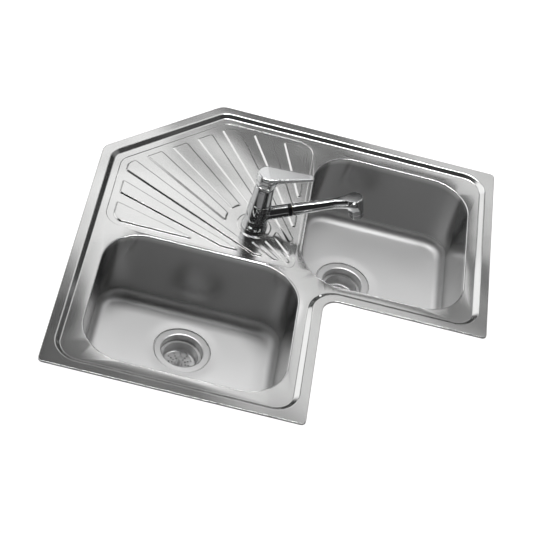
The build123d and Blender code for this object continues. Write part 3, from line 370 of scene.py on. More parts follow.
def wedge(index):
    """The corners of one wedge of the fan, before the tap's platform is cut out."""
    middle = FAN_MIDDLE + FAN_STEP * index
    low = middle - (LAST_SPREAD if index == -FAN_LAST else FAN_HALF)
    high = middle + (LAST_SPREAD if index == FAN_LAST else FAN_HALF)
    polygon = [Vector((0, 0)), ray(low), ray(high)]
    for a, b in zip(FAN_FRAME, FAN_FRAME[1:] + FAN_FRAME[:1]):
        polygon = clip(polygon, a, b)
    return polygon


print("corners of the wedges:", [len(wedge(i)) for i in range(-FAN_LAST, FAN_LAST + 1)])

# %% [markdown]
# Round the tap the wedges stop at a circle. The middle three are cut in two by it, so each gives a
# piece before the tap and a piece behind it, with a curved end. The others stay whole. A corner
# that is a corner of the frame gets the frame's wide rounding, and all others a tight one.

# %% Cut the wedges round the tap
CLEAR, CLEAR_RADIUS = Vector((-239.0, 239.0)) / math.sqrt(2), 53.0
TIGHT, WIDE = 3.2, 24.0


def crossings(line):
    """The two points where a ray meets the clear circle, the nearer one first."""
    along = line.normalized()
    middle = along.dot(CLEAR)
    reach = math.sqrt(CLEAR_RADIUS ** 2 - CLEAR.length_squared + middle ** 2)
    return along * (middle - reach), along * (middle + reach)


def halfway(start, end):
    """The point on the clear circle halfway between two of its points."""
    return CLEAR + ((start + end) / 2 - CLEAR).normalized() * CLEAR_RADIUS


def wedge_radius(corner):
    in_frame = any((corner - Vector(c)).length < 0.01 for c in FAN_FRAME)
    return WIDE if in_frame else TIGHT


def wedge_pieces(index):
    """The pieces of a wedge, each as corners and the radii to round them with."""
    polygon = wedge(index)
    if abs(index) > 1:
        return [(polygon, [wedge_radius(c) for c in polygon])]
    middle = FAN_MIDDLE + FAN_STEP * index
    low_in, low_out = crossings(ray(middle - FAN_HALF))
    high_in, high_out = crossings(ray(middle + FAN_HALF))
    by_angle = sorted(polygon, key=lambda c: math.atan2(c.y, c.x))
    near = [c for c in reversed(by_angle) if c.length < low_in.length]
    far = [c for c in by_angle if c.length > low_out.length]
    curved_end = [TIGHT, 0, TIGHT]
    return [(near + [low_in, halfway(low_in, high_in), high_in], [TIGHT] * len(near) + curved_end),
            (far + [high_out, halfway(high_out, low_out), low_out],
             [wedge_radius(c) for c in far] + curved_end)]


print("pieces:", sum(len(wedge_pieces(i)) for i in range(-FAN_LAST, FAN_LAST + 1)))

# %% [markdown]
# Each piece gets rounded corners and a section that rises 2.6 mm over its flank. Then the flat
# areas are filled: the wedges' tops, and the field between them.

# %% Fan of wedges
WEDGE_TOP = FIELD + 2.6
wedge_section = section([(-2.3, FIELD), (-0.9, FIELD), (1.8, WEDGE_TOP), (3.1, WEDGE_TOP)],
                        [0, 1.6, 1.4, 0], 5)
wedge_feet = []
for index in range(-FAN_LAST, FAN_LAST + 1):
    for corners, radii in wedge_pieces(index):
        foot, top = deck.strip_inward(round_corners(corners, radii, 8), wedge_section)
        wedge_feet.append(foot)
        deck.fill(top)
deck.fill(field_edge, [platform_start] + wedge_feet)
print("with the fan:", len(deck.faces), "faces")

# %% [markdown]
# The bowls' mouths are rounded rectangles. The left bowl lies across the left arm of the L, and the
# right bowl is its mirror image about the diagonal from the notch, so one set of sizes serves both.
# On the real sink the bowls' corners get tighter with depth, so their radius closes by 28 mm from
# the mouth to the floor. With the mouths in place, the deck can be filled.

# %% Bowl mouths and the deck between
MOUTH_LONG, MOUTH_SHORT, MOUTH_RADIUS = 391.0, 335.5, 85.0
MOUTH_X, MOUTH_Y = -244.5, -110.25
BOWL_DEPTH, CORNER_CLOSING, BOWL_FLANGE = 172.0, 28.0, 3.2


def left_ring(distance, height):
    """The left bowl's outline at a distance in from the mouth and at a height."""
    radius = MOUTH_RADIUS - distance - CORNER_CLOSING * (DECK - height) / BOWL_DEPTH
    half_x, half_y = MOUTH_LONG / 2 - distance, MOUTH_SHORT / 2 - distance
    corners = [(MOUTH_X + x * half_x, MOUTH_Y + y * half_y)
               for x, y in ((-1, -1), (1, -1), (1, 1), (-1, 1))]
    return round_corners(corners, [radius] * 4, 22)


def unchanged(outline):
    return outline


def mirrored(outline):
    """The mirror image about the diagonal, counterclockwise again."""
    return np.stack([-outline[:, 1], -outline[:, 0]], axis=1)[::-1]


SIDES = {"left": unchanged, "right": mirrored}
mouth = left_ring(-BOWL_FLANGE, DECK)
deck.fill(deck_edge, [border_start] + [deck.loop(place(mouth), DECK) for place in SIDES.values()])
deck_sheet = deck.finish("deck_sheet")
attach(deck_sheet, "root")
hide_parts("deck_panel")

# %% [markdown]
# ## Bowls
# A deep-drawn bowl has a soft lip, walls that lean out by a few degrees so that it leaves the
# press, and a broad curve where walls meet floor. The section below holds all of that. The floor is
# a flat area round a shallow dish, and the waste sits in a recess in the middle of the dish.

# %% Bowl section
BOWL_FLOOR = DECK - BOWL_DEPTH
WALL_RUN = BOWL_DEPTH * math.tan(math.radians(2.5))
LIP_BEND, FLOOR_BEND = 2.4, 21.0
bowl_section = section(
    [(-BOWL_FLANGE, DECK), (0, DECK), (WALL_RUN, BOWL_FLOOR), (WALL_RUN + 30, BOWL_FLOOR)],
    [0, LIP_BEND, FLOOR_BEND, 0], 12)[:-1]

WASTE = np.array([MOUTH_X, MOUTH_Y + MOUTH_SHORT / 2 - 114.75])
DISH, RECESS, DRAIN_HOLE = BOWL_FLOOR - 1.2, BOWL_FLOOR - 4.5, 45
waste_section = section(
    [(85.5, BOWL_FLOOR), (76, BOWL_FLOOR), (60.5, DISH), (58.5, DISH), (58.5, RECESS),
     (DRAIN_HOLE, RECESS)], [0, 180, 20, 0.7, 0.7, 0], 5)
print("bowl section:", len(bowl_section), "points; floor at", BOWL_FLOOR, "mm")

# %% [markdown]
# The same steps make both bowls. For the right bowl each outline is mirrored before it is used.

# %% Both bowls
bowls = {}
for side, place in SIDES.items():
    bowl = Sheet()
    _, floor_edge = bowl.strip(lambda d, z: place(left_ring(d, z)), bowl_section)
    dish_edge, _ = bowl.strip(lambda r, _: place(circle(WASTE, r)), waste_section)
    bowl.fill(floor_edge, [dish_edge])
    bowls[side] = bowl.finish(f"{side}_bowl_sheet")
    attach(bowls[side], "root")
    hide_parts(f"{side}_bowl")

# %% [markdown]
# ## Tap: smooth bodies
# The lever, the handset and the spout collar are cast pieces whose parts flow into each other. Such
# blends are hard to lay out as faces. It is easier to write, for any point in space, how far it is
# from the surface, with minus inside, and to blend two such distances where they are nearly equal.
# A mesh is then drawn where the distance is zero. First come the blends and a basic shape.

# %% Distances
def smooth_min(a, b, radius):
    """Joins two bodies with a fillet of about the given radius."""
    h = np.clip(0.5 + 0.5 * (b - a) / radius, 0, 1)
    return b + (a - b) * h - radius * h * (1 - h)


def smooth_max(a, b, radius):
    """Keeps what two bodies share, with the edge rounded by about the given radius."""
    return -smooth_min(-a, -b, radius)


def tapered_rod(x, y, z, x0, x1, r0, r1):
    """A round rod along x from x0 to x1, whose radius goes from r0 to r1, with flat ends."""
    share = np.clip((x - x0) / (x1 - x0), 0, 1)
    side = np.hypot(y, z) - (r0 + share * (r1 - r0))
    return np.maximum(side, np.maximum(x0 - x, x - x1))


print("two surfaces 0.5 mm away, blended over 4 mm:", smooth_min(0.5, 0.5, 4.0), "mm")

# %% [markdown]
# The mesh is found with surface nets. Space is cut into small cells. Each cell that the surface
# runs through gets one point, each edge of the grid that changes from inside to outside gets one
# face between the four cells round it, and at last the points slide along the slope of the distance
# until they lie on the surface.

# %% Surface nets
def grid_faces(inside, number, axis):
    """The faces across the grid's edges along one axis, as rows of four point numbers."""
    a = np.take(inside, range(inside.shape[axis] - 1), axis)
    b = np.take(inside, range(1, inside.shape[axis]), axis)
    one, two = [i for i in range(3) if i != axis]
    faces = []
    for leaves in (True, False):
        spots = np.argwhere((a == leaves) & (b != leaves))
        spots = spots[(spots[:, one] > 0) & (spots[:, two] > 0)]
        spots = spots[(spots[:, one] < number.shape[one]) & (spots[:, two] < number.shape[two])]
        ring = []
        for back_one, back_two in ((1, 1), (0, 1), (0, 0), (1, 0)):
            spot = spots.copy()
            spot[:, one] -= back_one
            spot[:, two] -= back_two
            ring.append(number[tuple(spot.T)])
        if leaves == (axis == 1):
            ring = ring[::-1]
        faces.append(np.stack(ring, axis=1))
    return faces


def slide_to_surface(field, points, step, rounds=8):
    """Moves points along the field's slope until the field is zero there."""
    nudge = step / 50 * np.eye(3)
    for _ in range(rounds):
        value = field(*points.T)
        slope = np.stack([(field(*(points + n).T) - field(*(points - n).T)) / (2 * n.sum())
                          for n in nudge], axis=1)
        move = slope * (value / np.maximum((slope ** 2).sum(axis=1), 0.2))[:, None]
        points = points - np.clip(move, -0.4 * step, 0.4 * step)
    return points


def net(field, low, high, step):
    """Points in mm and faces of the surface where field(x, y, z) is zero."""
    axes = [np.arange(a, b + step, step) for a, b in zip(low, high)]
    inside = field(*np.meshgrid(*axes, indexing="ij")) < 0
    nx, ny, nz = (n - 1 for n in inside.shape)
    corners = sum(inside[dx:dx + nx, dy:dy + ny, dz:dz + nz].astype(int)
                  for dx in (0, 1) for dy in (0, 1) for dz in (0, 1))
    crossed = (corners > 0) & (corners < 8)
    number = np.full(crossed.shape, -1)
    number[crossed] = np.arange(crossed.sum())
    points = np.argwhere(crossed) * step + np.array(low) + step / 2
    faces = [f for axis in range(3) for f in grid_faces(inside, number, axis)]
    return slide_to_surface(field, points, step), np.concatenate(faces)


ball_points, _ = net(lambda x, y, z: np.sqrt(x * x + y * y + z * z) - 9, (-10, -10, -10),
                     (10, 10, 10), 1.0)
reach = np.linalg.norm(ball_points, axis=1)
print("a test ball of 9 mm: its points lie", reach.min().round(2), "mm or more from its centre")

# %% [markdown]
# The spout points to the right, 15 degrees round from +X, and rises by 16.8 degrees. Two frames
# follow from that: one stands upright on the tap's axis, with x the way the spout and the lever
# point, and the other lies along the spout. Each piece is worked out in one of them and then
# placed.

# %% The tap's two frames
TAP_BASE = np.array([*TAP, PLATFORM])
STUB_HEIGHT = 30
turn_round, rise = math.radians(15), math.radians(16.8)
FORWARD = np.array([math.cos(turn_round), math.sin(turn_round), 0])
SIDEWAYS = np.array([-math.sin(turn_round), math.cos(turn_round), 0])
UPWARD = np.array([0, 0, 1.0])
ALONG = FORWARD * math.cos(rise) + UPWARD * math.sin(rise)
ACROSS = UPWARD * math.cos(rise) - FORWARD * math.sin(rise)
STUB_ORIGIN = TAP_BASE + UPWARD * STUB_HEIGHT
UPRIGHT_FRAME = (TAP_BASE, np.stack([FORWARD, SIDEWAYS, UPWARD]))
SPOUT_FRAME = (STUB_ORIGIN, np.stack([ALONG, SIDEWAYS, ACROSS]))
NET_STEP = 0.8


def tap_piece(name, field, low, high, tap_frame, body, node):
    """Nets a field in one of the tap's frames and lets the object stand for its CAD node."""
    points, faces = net(field, low, high, NET_STEP)
    origin, axes = tap_frame
    piece = mesh_object(name, origin + points @ axes, faces)
    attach(piece, body)
    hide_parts(node)
    print(name, len(points), "points")
    return piece


print("spout points along", ALONG.round(3))

# %% [markdown]
# The lever is a short drum over the tap's dome under a flat top in the shape of a drop: a wide
# circle over the drum, a small one at the tip and straight sides between. The arm gets thinner to
# its tip, and below it the drum flares forward. Inside it is hollow, so that it can tip over the
# dome, and a square socket takes the stem.

# %% Lever
LEVER_LOW, LEVER_TOP, DRUM_TOP = 114.7, 145.0, 136.0
ARM_LENGTH, ARM_ROOT, ARM_TIP = 84.25, 22.0, 9.75
ROOT_THICKNESS, TIP_THICKNESS, TIP_DROP = 16.0, 6.6, 3.0
PIVOT_HEIGHT, HOLLOW_RADIUS, SOCKET_HALF = 106, 19.8, 4.05
DRUM_RADII, DRUM_WIDEST = (18.9, 21.2), 120.0
FLARE_HALF, FLARE_BACK, FLARE_FRONT, FLARE_REACH = 12.5, 8, 18.0, 23.0
FLARE_LOW, FLARE_RISE, SOCKET_DEPTH = LEVER_LOW + 1, 18.3, 15


def drop_outline(x, y, root, tip, reach):
    """Distance in plan from a drop: a circle round 0, a smaller one at reach, and tangents."""
    lean = (root - tip) / reach
    upright = math.sqrt(1 - lean * lean)
    along = upright * x - lean * np.abs(y)
    side = upright * np.abs(y) + lean * x - root
    return np.where(along < 0, np.hypot(x, y) - root,
                    np.where(along > upright * reach, np.hypot(x - reach, y) - tip, side))


def lever_field(x, y, z):
    share = np.clip(x / ARM_LENGTH, 0, 1)
    thickness = ROOT_THICKNESS + np.sqrt(share) * (TIP_THICKNESS - ROOT_THICKNESS)
    top = LEVER_TOP - TIP_DROP * share
    arm = smooth_max(drop_outline(x, y, ARM_ROOT, ARM_TIP, ARM_LENGTH), z - top, 4.0)
    arm = smooth_max(arm, top - thickness - z, 3.5)
    drum_radius = np.interp(z, [LEVER_LOW, DRUM_WIDEST], DRUM_RADII)
    drum = smooth_max(np.hypot(x, y) - drum_radius, z - DRUM_TOP, 2.0)
    level = np.clip((z - FLARE_LOW) / FLARE_RISE, 0, 1)
    front = FLARE_FRONT + level ** 2 * FLARE_REACH
    middle, half = (front - FLARE_BACK) / 2, (front + FLARE_BACK) / 2
    oval = np.hypot((x - middle) / half, y / FLARE_HALF) * FLARE_HALF
    flare = np.maximum(smooth_max(oval - FLARE_HALF, z - DRUM_TOP, 2.0), LEVER_LOW - z)
    solid = smooth_min(smooth_min(drum, arm, 3.0), flare, 7.0)
    solid = smooth_max(solid, LEVER_LOW - z, 0.8)
    hollow = np.sqrt(x * x + y * y + (z - PIVOT_HEIGHT) ** 2) - HOLLOW_RADIUS
    socket = np.maximum(np.maximum(np.abs(x), np.abs(y)) - SOCKET_HALF,
                        np.abs(z - PIVOT_HEIGHT - SOCKET_DEPTH) - SOCKET_DEPTH)
    return np.maximum(smooth_max(solid, -hollow, 0.6), -socket)


lever = tap_piece("lever_piece", lever_field, (-24, -24, 112), (97, 24, 147), UPRIGHT_FRAME,
                  "lever", "lever")

# %% [markdown]
# The handset is a slim rod that swells into an upright drum. A sloping flat is cut on top, and the
# neck's underside sweeps down into the drum. A bore takes the connector, and the drum is hollow for
# the spray face.

# %% Handset
GRIP_START, NECK_START, HEAD_AT = 71.3, 152.0, 200.5
GRIP_RADIUS, NECK_RADIUS, HEAD_RADIUS = 12.8, 10.6, 16.0
HEAD_TOP, HEAD_LOW, NECK_WIDEST, NECK_SAG = 14.0, -31.0, 15.6, 6.4
FLAT_START, FLAT_END, FLAT_HIGH, FLAT_LOW, FLAT_TILT = 157.0, 216.5, 10.7, 7.6, 0.12
CONNECTOR_END, CONNECTOR_RADIUS = 81.3, 7.45
CHAMBER_RADIUS, CHAMBER_TOP = 12.5, 5.5


def handset_field(x, y, z):
    grip = tapered_rod(x, y, z, GRIP_START, NECK_START, GRIP_RADIUS, NECK_RADIUS)
    share = np.clip((x - NECK_START) / (HEAD_AT - NECK_START), 0, 1)
    eased = share * share * (3 - 2 * share)
    half_width = NECK_RADIUS + eased * (NECK_WIDEST - NECK_RADIUS)
    low, high = -NECK_RADIUS - eased * NECK_SAG, NECK_RADIUS + share * (HEAD_TOP - NECK_RADIUS)
    half_height = (high - low) / 2
    oval = np.hypot(y / half_width, (z - (low + high) / 2) / half_height)
    neck = (oval - 1) * np.minimum(half_width, half_height)
    neck = np.maximum(neck, np.maximum(NECK_START - 1 - x, x - HEAD_AT))
    from_axis = np.hypot(x - HEAD_AT, y)
    drum = smooth_max(smooth_max(from_axis - HEAD_RADIUS, z - HEAD_TOP, 2.0), HEAD_LOW - z, 0.8)
    body = smooth_min(smooth_min(grip, neck, 1.5), drum, 9.0)
    slope = (FLAT_LOW - FLAT_HIGH) / (FLAT_END - FLAT_START)
    flat = z - (FLAT_HIGH + (x - FLAT_START) * slope) + FLAT_TILT * y
    body = smooth_max(body, flat, 0.9)
    body = smooth_max(body, GRIP_START - x, 1.0)
    body = smooth_max(body, HEAD_LOW - z, 0.8)
    bore = tapered_rod(x, y, z, 60.0, CONNECTOR_END, CONNECTOR_RADIUS, CONNECTOR_RADIUS)
    chamber = smooth_max(from_axis - CHAMBER_RADIUS, z - CHAMBER_TOP, 0.5)
    return np.maximum(np.maximum(body, -bore), -chamber)


handset = tap_piece("handset_piece", handset_field, (69, -18, -33), (219, 18, 16), SPOUT_FRAME,
                    "handset", "handset_shell")

# %% [markdown]
# The collar turns on the tap's body and carries the stub that the handset docks on. It is a tall,
# slightly tapering sleeve with a rod let into it, and both are bored out.

# %% Spout collar
COLLAR_LOW, COLLAR_TOP, COLLAR_BORE = 21.9, 67.0, 19.0
STUB_END, STUB_BORE = 63.5, 11.4
COLLAR_RADII, STUB_RADII = (23.5, 22.2), (14.2, 13.2)


def collar_field(x, y, z):
    radius = np.hypot(x, y)
    sleeve = radius - np.interp(z, [COLLAR_LOW, COLLAR_TOP], COLLAR_RADII)
    u = x * math.cos(rise) + (z - STUB_HEIGHT) * math.sin(rise)
    w = (z - STUB_HEIGHT) * math.cos(rise) - x * math.sin(rise)
    stub = tapered_rod(u, y, w, 0, STUB_END, *STUB_RADII)
    sleeve = smooth_max(smooth_max(sleeve, z - COLLAR_TOP, 0.8), COLLAR_LOW - z, 0.8)
    body = smooth_min(sleeve, smooth_max(stub, u - STUB_END, 0.8), 4.0)
    body = np.maximum(body, COLLAR_LOW - z)
    stub_bore = tapered_rod(u, y, w, 0, STUB_END + 6.5, STUB_BORE, STUB_BORE)
    return smooth_max(smooth_max(body, COLLAR_BORE - radius, 0.5), -stub_bore, 0.5)


collar = tap_piece("collar_piece", collar_field, (-26, -26, 20), (72, 26, 69), UPRIGHT_FRAME,
                   "spout", "spout_collar")

# %% [markdown]
# ## Turned pieces
# The base plate and the rings were turned on a lathe. A closed half section, swept round an axis,
# is all they need. As in the sheets, `round_corners` bends the section's corners.

# %% Lathe
def turned_piece(name, half_section, radii, origin, axis, body, node):
    """A half section of (radius, height) corners in mm, turned round an axis through origin."""
    line = round_corners(half_section, radii, 4)
    across = Vector(axis).orthogonal().normalized()
    third = Vector(axis).cross(across)
    segments, count = 96, len(line)
    angles = np.arange(segments) * 2 * math.pi / segments
    around = np.cos(angles)[:, None] * np.array(across) + np.sin(angles)[:, None] * np.array(third)
    points = (np.array(origin) + line[None, :, 0, None] * around[:, None, :]
              + line[None, :, 1, None] * np.array(axis)).reshape(-1, 3)
    faces = []
    for s in range(segments):
        here, after = s * count, (s + 1) % segments * count
        faces += [(here + i, after + i, after + (i + 1) % count, here + (i + 1) % count)
                  for i in range(count)]
    piece = mesh_object(name, points, faces)
    keep_flats(piece)
    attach(piece, body)
    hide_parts(node)
    print(name, len(points), "points")
    return piece


RING_LOW = 6.0
base_plate = turned_piece(
    "base_plate_piece",
    [(16.8, 0.8), (27.0, 0.8), (27.0, 5.2), (26.2, RING_LOW), (16.8, RING_LOW)],
    [0.2, 0.4, 0.7, 0.7, 0.2], TAP_BASE, UPWARD, "root", "base_plate")
retaining_ring = turned_piece(
    "retaining_ring_piece", [(15.85, RING_LOW), (26.2, RING_LOW), (23.5, 21.5), (15.85, 21.5)],
    [0.2, 0.5, 0.5, 0.2], TAP_BASE, UPWARD, "root", "retaining_ring")

# %% [markdown]
# The black ring lies between the stub and the handset, and the nozzle hangs below the handset's
# head. Their axes are the spout's own axis and the line across it.

# %% Docking ring and nozzle ring
docking_ring = turned_piece(
    "docking_ring_piece",
    [(9.9, -20.0), (11.35, -20.0), (11.35, 0.0), (13.2, 0.0), (13.2, 7.5), (9.9, 7.5)],
    [0.3, 0.5, 0.3, 0.6, 0.6, 0.5], STUB_ORIGIN + ALONG * STUB_END, ALONG, "spout",
    "docking_ring")
nozzle_ring = turned_piece(
    "nozzle_ring_piece",
    [(12.45, -11.5), (15.2, -11.5), (15.2, 0.0), (12.45, 0.0), (12.45, 6.0), (10.4, 6.0),
     (10.4, -7.5), (12.45, -7.5)],
    [0.3, 1.6, 0.3, 0.3, 0.3, 0.3, 0.3, 0.2], STUB_ORIGIN + ALONG * HEAD_AT + ACROSS * HEAD_LOW,
    ACROSS, "handset", "nozzle_ring")

# %% [markdown]
# ## Materials: shared effects
# A single colour never looks like metal or plastic, because real surfaces vary: satin steel has a
# fine grain, chrome has faint smears, moulded plastic has a skin. Effects that several materials
# use are node groups here. Two helpers save repeating: one puts a node in a tree with its inputs
# set or wired, and one makes an empty group with named inputs and outputs.

# %% Helpers for nodes and groups
def put(tree, kind, *inputs, named=None, **settings):
    """Adds a shader node. Inputs, in order or by name, are values or other nodes' outputs."""
    node = tree.nodes.new("ShaderNode" + kind)
    for label, value in settings.items():
        setattr(node, label, value)
    for label, value in [*enumerate(inputs), *(named or {}).items()]:
        if isinstance(value, bpy.types.NodeSocket):
            tree.links.new(value, node.inputs[label])
        elif value is not None:
            node.inputs[label].default_value = value
    return node


def new_group(name, inputs, outputs):
    """A shader node group with its sockets, and its input node and output node."""
    tree = bpy.data.node_groups.new(name, "ShaderNodeTree")
    for label, (kind, value) in inputs.items():
        socket = tree.interface.new_socket(label, in_out="INPUT", socket_type=kind)
        socket.default_value = value
    for label, kind in outputs.items():
        tree.interface.new_socket(label, in_out="OUTPUT", socket_type=kind)
    return tree, tree.nodes.new("NodeGroupInput").outputs, tree.nodes.new("NodeGroupOutput").inputs


FLOAT, COLOUR, VECTOR = "NodeSocketFloat", "NodeSocketColor", "NodeSocketVector"
print("node helpers ready")

# %% [markdown]
# Satin steel is brushed with a fine abrasive. The scratches run one way, so the grain is a noise
# that is squeezed across the brush and stretched along it. It changes the roughness a little from
# place to place and gives a very small height for a bump. A second, broad noise stands for handling
# marks. The third is broader still: pressed sheet is never quite flat, and its long shallow waves
# are what makes bands of light and dark wander over it. Both heights are in metres.

# %% Group: satin grain
def vary(tree, base, noise, amount):
    """A value that a noise moves up and down about its base: base + (noise - 0.5) * amount."""
    centred = put(tree, "Math", noise, 0.5, operation="SUBTRACT")
    return put(tree, "Math", centred.outputs[0], amount, base, operation="MULTIPLY_ADD").outputs[0]


def build_satin_grain():
    tree, given, out = new_group(
        "satin_grain",
        {"Stretch": (VECTOR, (60.0, 900.0, 900.0)), "Roughness": (FLOAT, 0.3),
         "Grain": (FLOAT, 0.05), "Marks": (FLOAT, 0.04), "Marks Scale": (FLOAT, 9.0),
         "Grain Height": (FLOAT, 0.000004), "Waves per Metre": (FLOAT, 6.0),
         "Wave Height": (FLOAT, 0.0)},
        {"Roughness": FLOAT, "Height": FLOAT})
    place = put(tree, "TexCoord").outputs["Object"]
    squeeze = put(tree, "VectorMath", place, given["Stretch"], operation="MULTIPLY")
    grain = put(tree, "TexNoise", named={"Vector": squeeze.outputs[0], "Scale": 1.0, "Detail": 3.0})
    marks = put(tree, "TexNoise", named={"Vector": place, "Scale": given["Marks Scale"],
                                         "Detail": 4.0})
    waves = put(tree, "TexNoise", named={"Vector": place, "Scale": given["Waves per Metre"],
                                         "Detail": 0.0})
    rough = vary(tree, given["Roughness"], grain.outputs["Fac"], given["Grain"])
    rough = vary(tree, rough, marks.outputs["Fac"], given["Marks"])
    fine = put(tree, "Math", grain.outputs["Fac"], given["Grain Height"], operation="MULTIPLY")
    height = put(tree, "Math", waves.outputs["Fac"], given["Wave Height"], fine.outputs[0],
                 operation="MULTIPLY_ADD")
    tree.links.new(rough, out["Roughness"])
    tree.links.new(height.outputs[0], out["Height"])
    return tree


satin_grain = build_satin_grain()
print("group", satin_grain.name)

# %% [markdown]
# Turned pieces, such as the waste's flange, keep rings from the lathe. The group measures how far a
# point is from an upright line and looks that distance up in a one-dimensional noise.

# %% Group: lathe rings
def build_lathe_rings():
    tree, given, out = new_group(
        "lathe_rings",
        {"Centre": (VECTOR, (0.0, 0.0, 0.0)), "Rings per Metre": (FLOAT, 1500.0),
         "Roughness": (FLOAT, 0.25), "Spread": (FLOAT, 0.1)},
        {"Roughness": FLOAT, "Height": FLOAT})
    place = put(tree, "TexCoord").outputs["Object"]
    away = put(tree, "VectorMath", place, given["Centre"], operation="SUBTRACT")
    flat = put(tree, "VectorMath", away.outputs[0], (1, 1, 0), operation="MULTIPLY")
    reach = put(tree, "VectorMath", flat.outputs[0], operation="LENGTH")
    count = put(tree, "Math", reach.outputs["Value"], given["Rings per Metre"],
                operation="MULTIPLY")
    rings = put(tree, "TexNoise", noise_dimensions="1D",
                named={"W": count.outputs[0], "Scale": 1.0, "Detail": 2.0}).outputs["Fac"]
    tree.links.new(vary(tree, given["Roughness"], rings, given["Spread"]), out["Roughness"])
    tree.links.new(rings, out["Height"])
    return tree


lathe_rings = build_lathe_rings()
print("group", lathe_rings.name)

# %% [markdown]
# Plastic, rubber and raw brass have a skin: a fine even pattern from the mould or the cast, and a
# tone that drifts a little. The group mixes a main and a second colour by the drift, and gives the
# fine pattern as a height.

# %% Group: skin
def build_skin():
    tree, given, out = new_group(
        "skin",
        {"Colour": (COLOUR, (0.5, 0.5, 0.5, 1)), "Second Colour": (COLOUR, (0.4, 0.4, 0.4, 1)),
         "Pores per Metre": (FLOAT, 1800.0), "Drift per Metre": (FLOAT, 30.0),
         "Roughness": (FLOAT, 0.5), "Spread": (FLOAT, 0.1)},
        {"Colour": COLOUR, "Roughness": FLOAT, "Height": FLOAT})
    place = put(tree, "TexCoord").outputs["Object"]
    pores = put(tree, "TexNoise", named={"Vector": place, "Scale": given["Pores per Metre"],
                                         "Detail": 2.0})
    drift = put(tree, "TexNoise", named={"Vector": place, "Scale": given["Drift per Metre"],
                                         "Detail": 5.0}).outputs["Fac"]
    contrast = put(tree, "MapRange", named={"Value": drift, "From Min": 0.35, "From Max": 0.65})
    mix = put(tree, "Mix", data_type="RGBA",
              named={"Factor": contrast.outputs["Result"], 6: given["Colour"],
                     7: given["Second Colour"]})
    tree.links.new(mix.outputs[2], out["Colour"])
    tree.links.new(vary(tree, given["Roughness"], drift, given["Spread"]), out["Roughness"])
    tree.links.new(pores.outputs["Fac"], out["Height"])
    return tree


skin = build_skin()
print("group", skin.name)

# %% [markdown]
# Every material is one Principled shader. Its plain numbers, such as how metallic it is, are set on
# the shader itself, and the groups feed only what changes over the surface. These helpers make the
# shader, place a group beside it and wire a small bump. `surface` does all of it at once.

# %% Helpers for materials
def new_material(name, colour, roughness, metallic):
    """A material with one Principled shader, whose plain values are set on its own sockets."""
    material = bpy.data.materials.new(name)
    material.use_nodes = True
    shader = material.node_tree.nodes["Principled BSDF"]
    shader.inputs["Base Color"].default_value = (*colour, 1)
    shader.inputs["Roughness"].default_value = roughness
    shader.inputs["Metallic"].default_value = metallic
    return material, shader


def place_group(material, group, **values):
    """Puts a group in a material with its own values, and returns the group's outputs."""
    named = {label.replace("_", " "): value for label, value in values.items()}
    return put(material.node_tree, "Group", node_tree=group, named=named).outputs


def add_bump(material, shader, height, distance):
    """A Bump node between a height and the shader's normal. The distance is in metres."""
    bump = put(material.node_tree, "Bump", named={"Distance": distance, "Height": height})
    material.node_tree.links.new(bump.outputs["Normal"], shader.inputs["Normal"])


def surface(name, colour, metallic, group, bump, **values):
    """A material that one group feeds: its roughness, its colour if it gives one, and a bump."""
    material, shader = new_material(name, colour, values["Roughness"], metallic)
    outputs = place_group(material, group, **values)
    material.node_tree.links.new(outputs["Roughness"], shader.inputs["Roughness"])
    if "Colour" in outputs:
        material.node_tree.links.new(outputs["Colour"], shader.inputs["Base Color"])
    if bump:
        add_bump(material, shader, outputs["Height"], bump)
    return material


print("material helpers ready")

# %% [markdown]
# ## Materials: metals
# The deck keeps its fine brushed finish. The clamps are galvanised and duller, and the screws have
# their grain along the thread. The group's heights are in metres already, so the bump's distance is
# 1.

# %% Satin steels
def satin_steel(name, colour, **values):
    return surface(name, colour, 1.0, satin_grain, 1.0, **values)


DECK_FINISH = {"Roughness": 0.18, "Stretch": (30, 2200, 2200), "Grain": 0.04, "Marks": 0.05,
               "Grain_Height": 0.000001}
deck_steel = satin_steel("deck_steel", (0.74, 0.74, 0.735), Waves_per_Metre=7.0,
                         Wave_Height=0.0035, **DECK_FINISH)
zinc_steel = satin_steel("zinc_steel", (0.56, 0.57, 0.58), Roughness=0.42,
                         Stretch=(300, 300, 300), Grain=0.12, Marks=0.12, Grain_Height=0.00002)
screw_steel = satin_steel("screw_steel", (0.62, 0.62, 0.63), Roughness=0.3,
                          Stretch=(700, 700, 90), Grain=0.08, Marks=0.06, Grain_Height=0.000008)
print("satin steels ready")

# %% [markdown]
# A bowl's lip was polished together with the deck. The drawn walls below it keep long soft streaks
# that run down, and the floor was rubbed matt, so it spreads the light. The walls are also given a
# much darker colour than the lip and the floor, which is painted shade. The material holds the
# satin group three times, for lip, wall and floor, and goes from one to the next by height.

# %% Bowl steel
# The walls' colour of 0.36 is painted shade, much darker than the lip's and the floor's.
LIP_SHADE, WALL_PAINTED_SHADE, FLOOR_SHADE = 0.74, 0.36, 0.8
WALL_FINISH = {"Roughness": 0.22, "Stretch": (160, 160, 9), "Grain": 0.08, "Marks": 0.08,
               "Grain_Height": 0.000002}
FLOOR_FINISH = {"Roughness": 0.6, "Stretch": (900, 60, 900), "Grain": 0.05, "Marks": 0.06,
                "Grain_Height": 0.000001}
LIP_TO_WALL, WALL_TO_FLOOR = (-0.005, -0.018), (-0.150, -0.174)


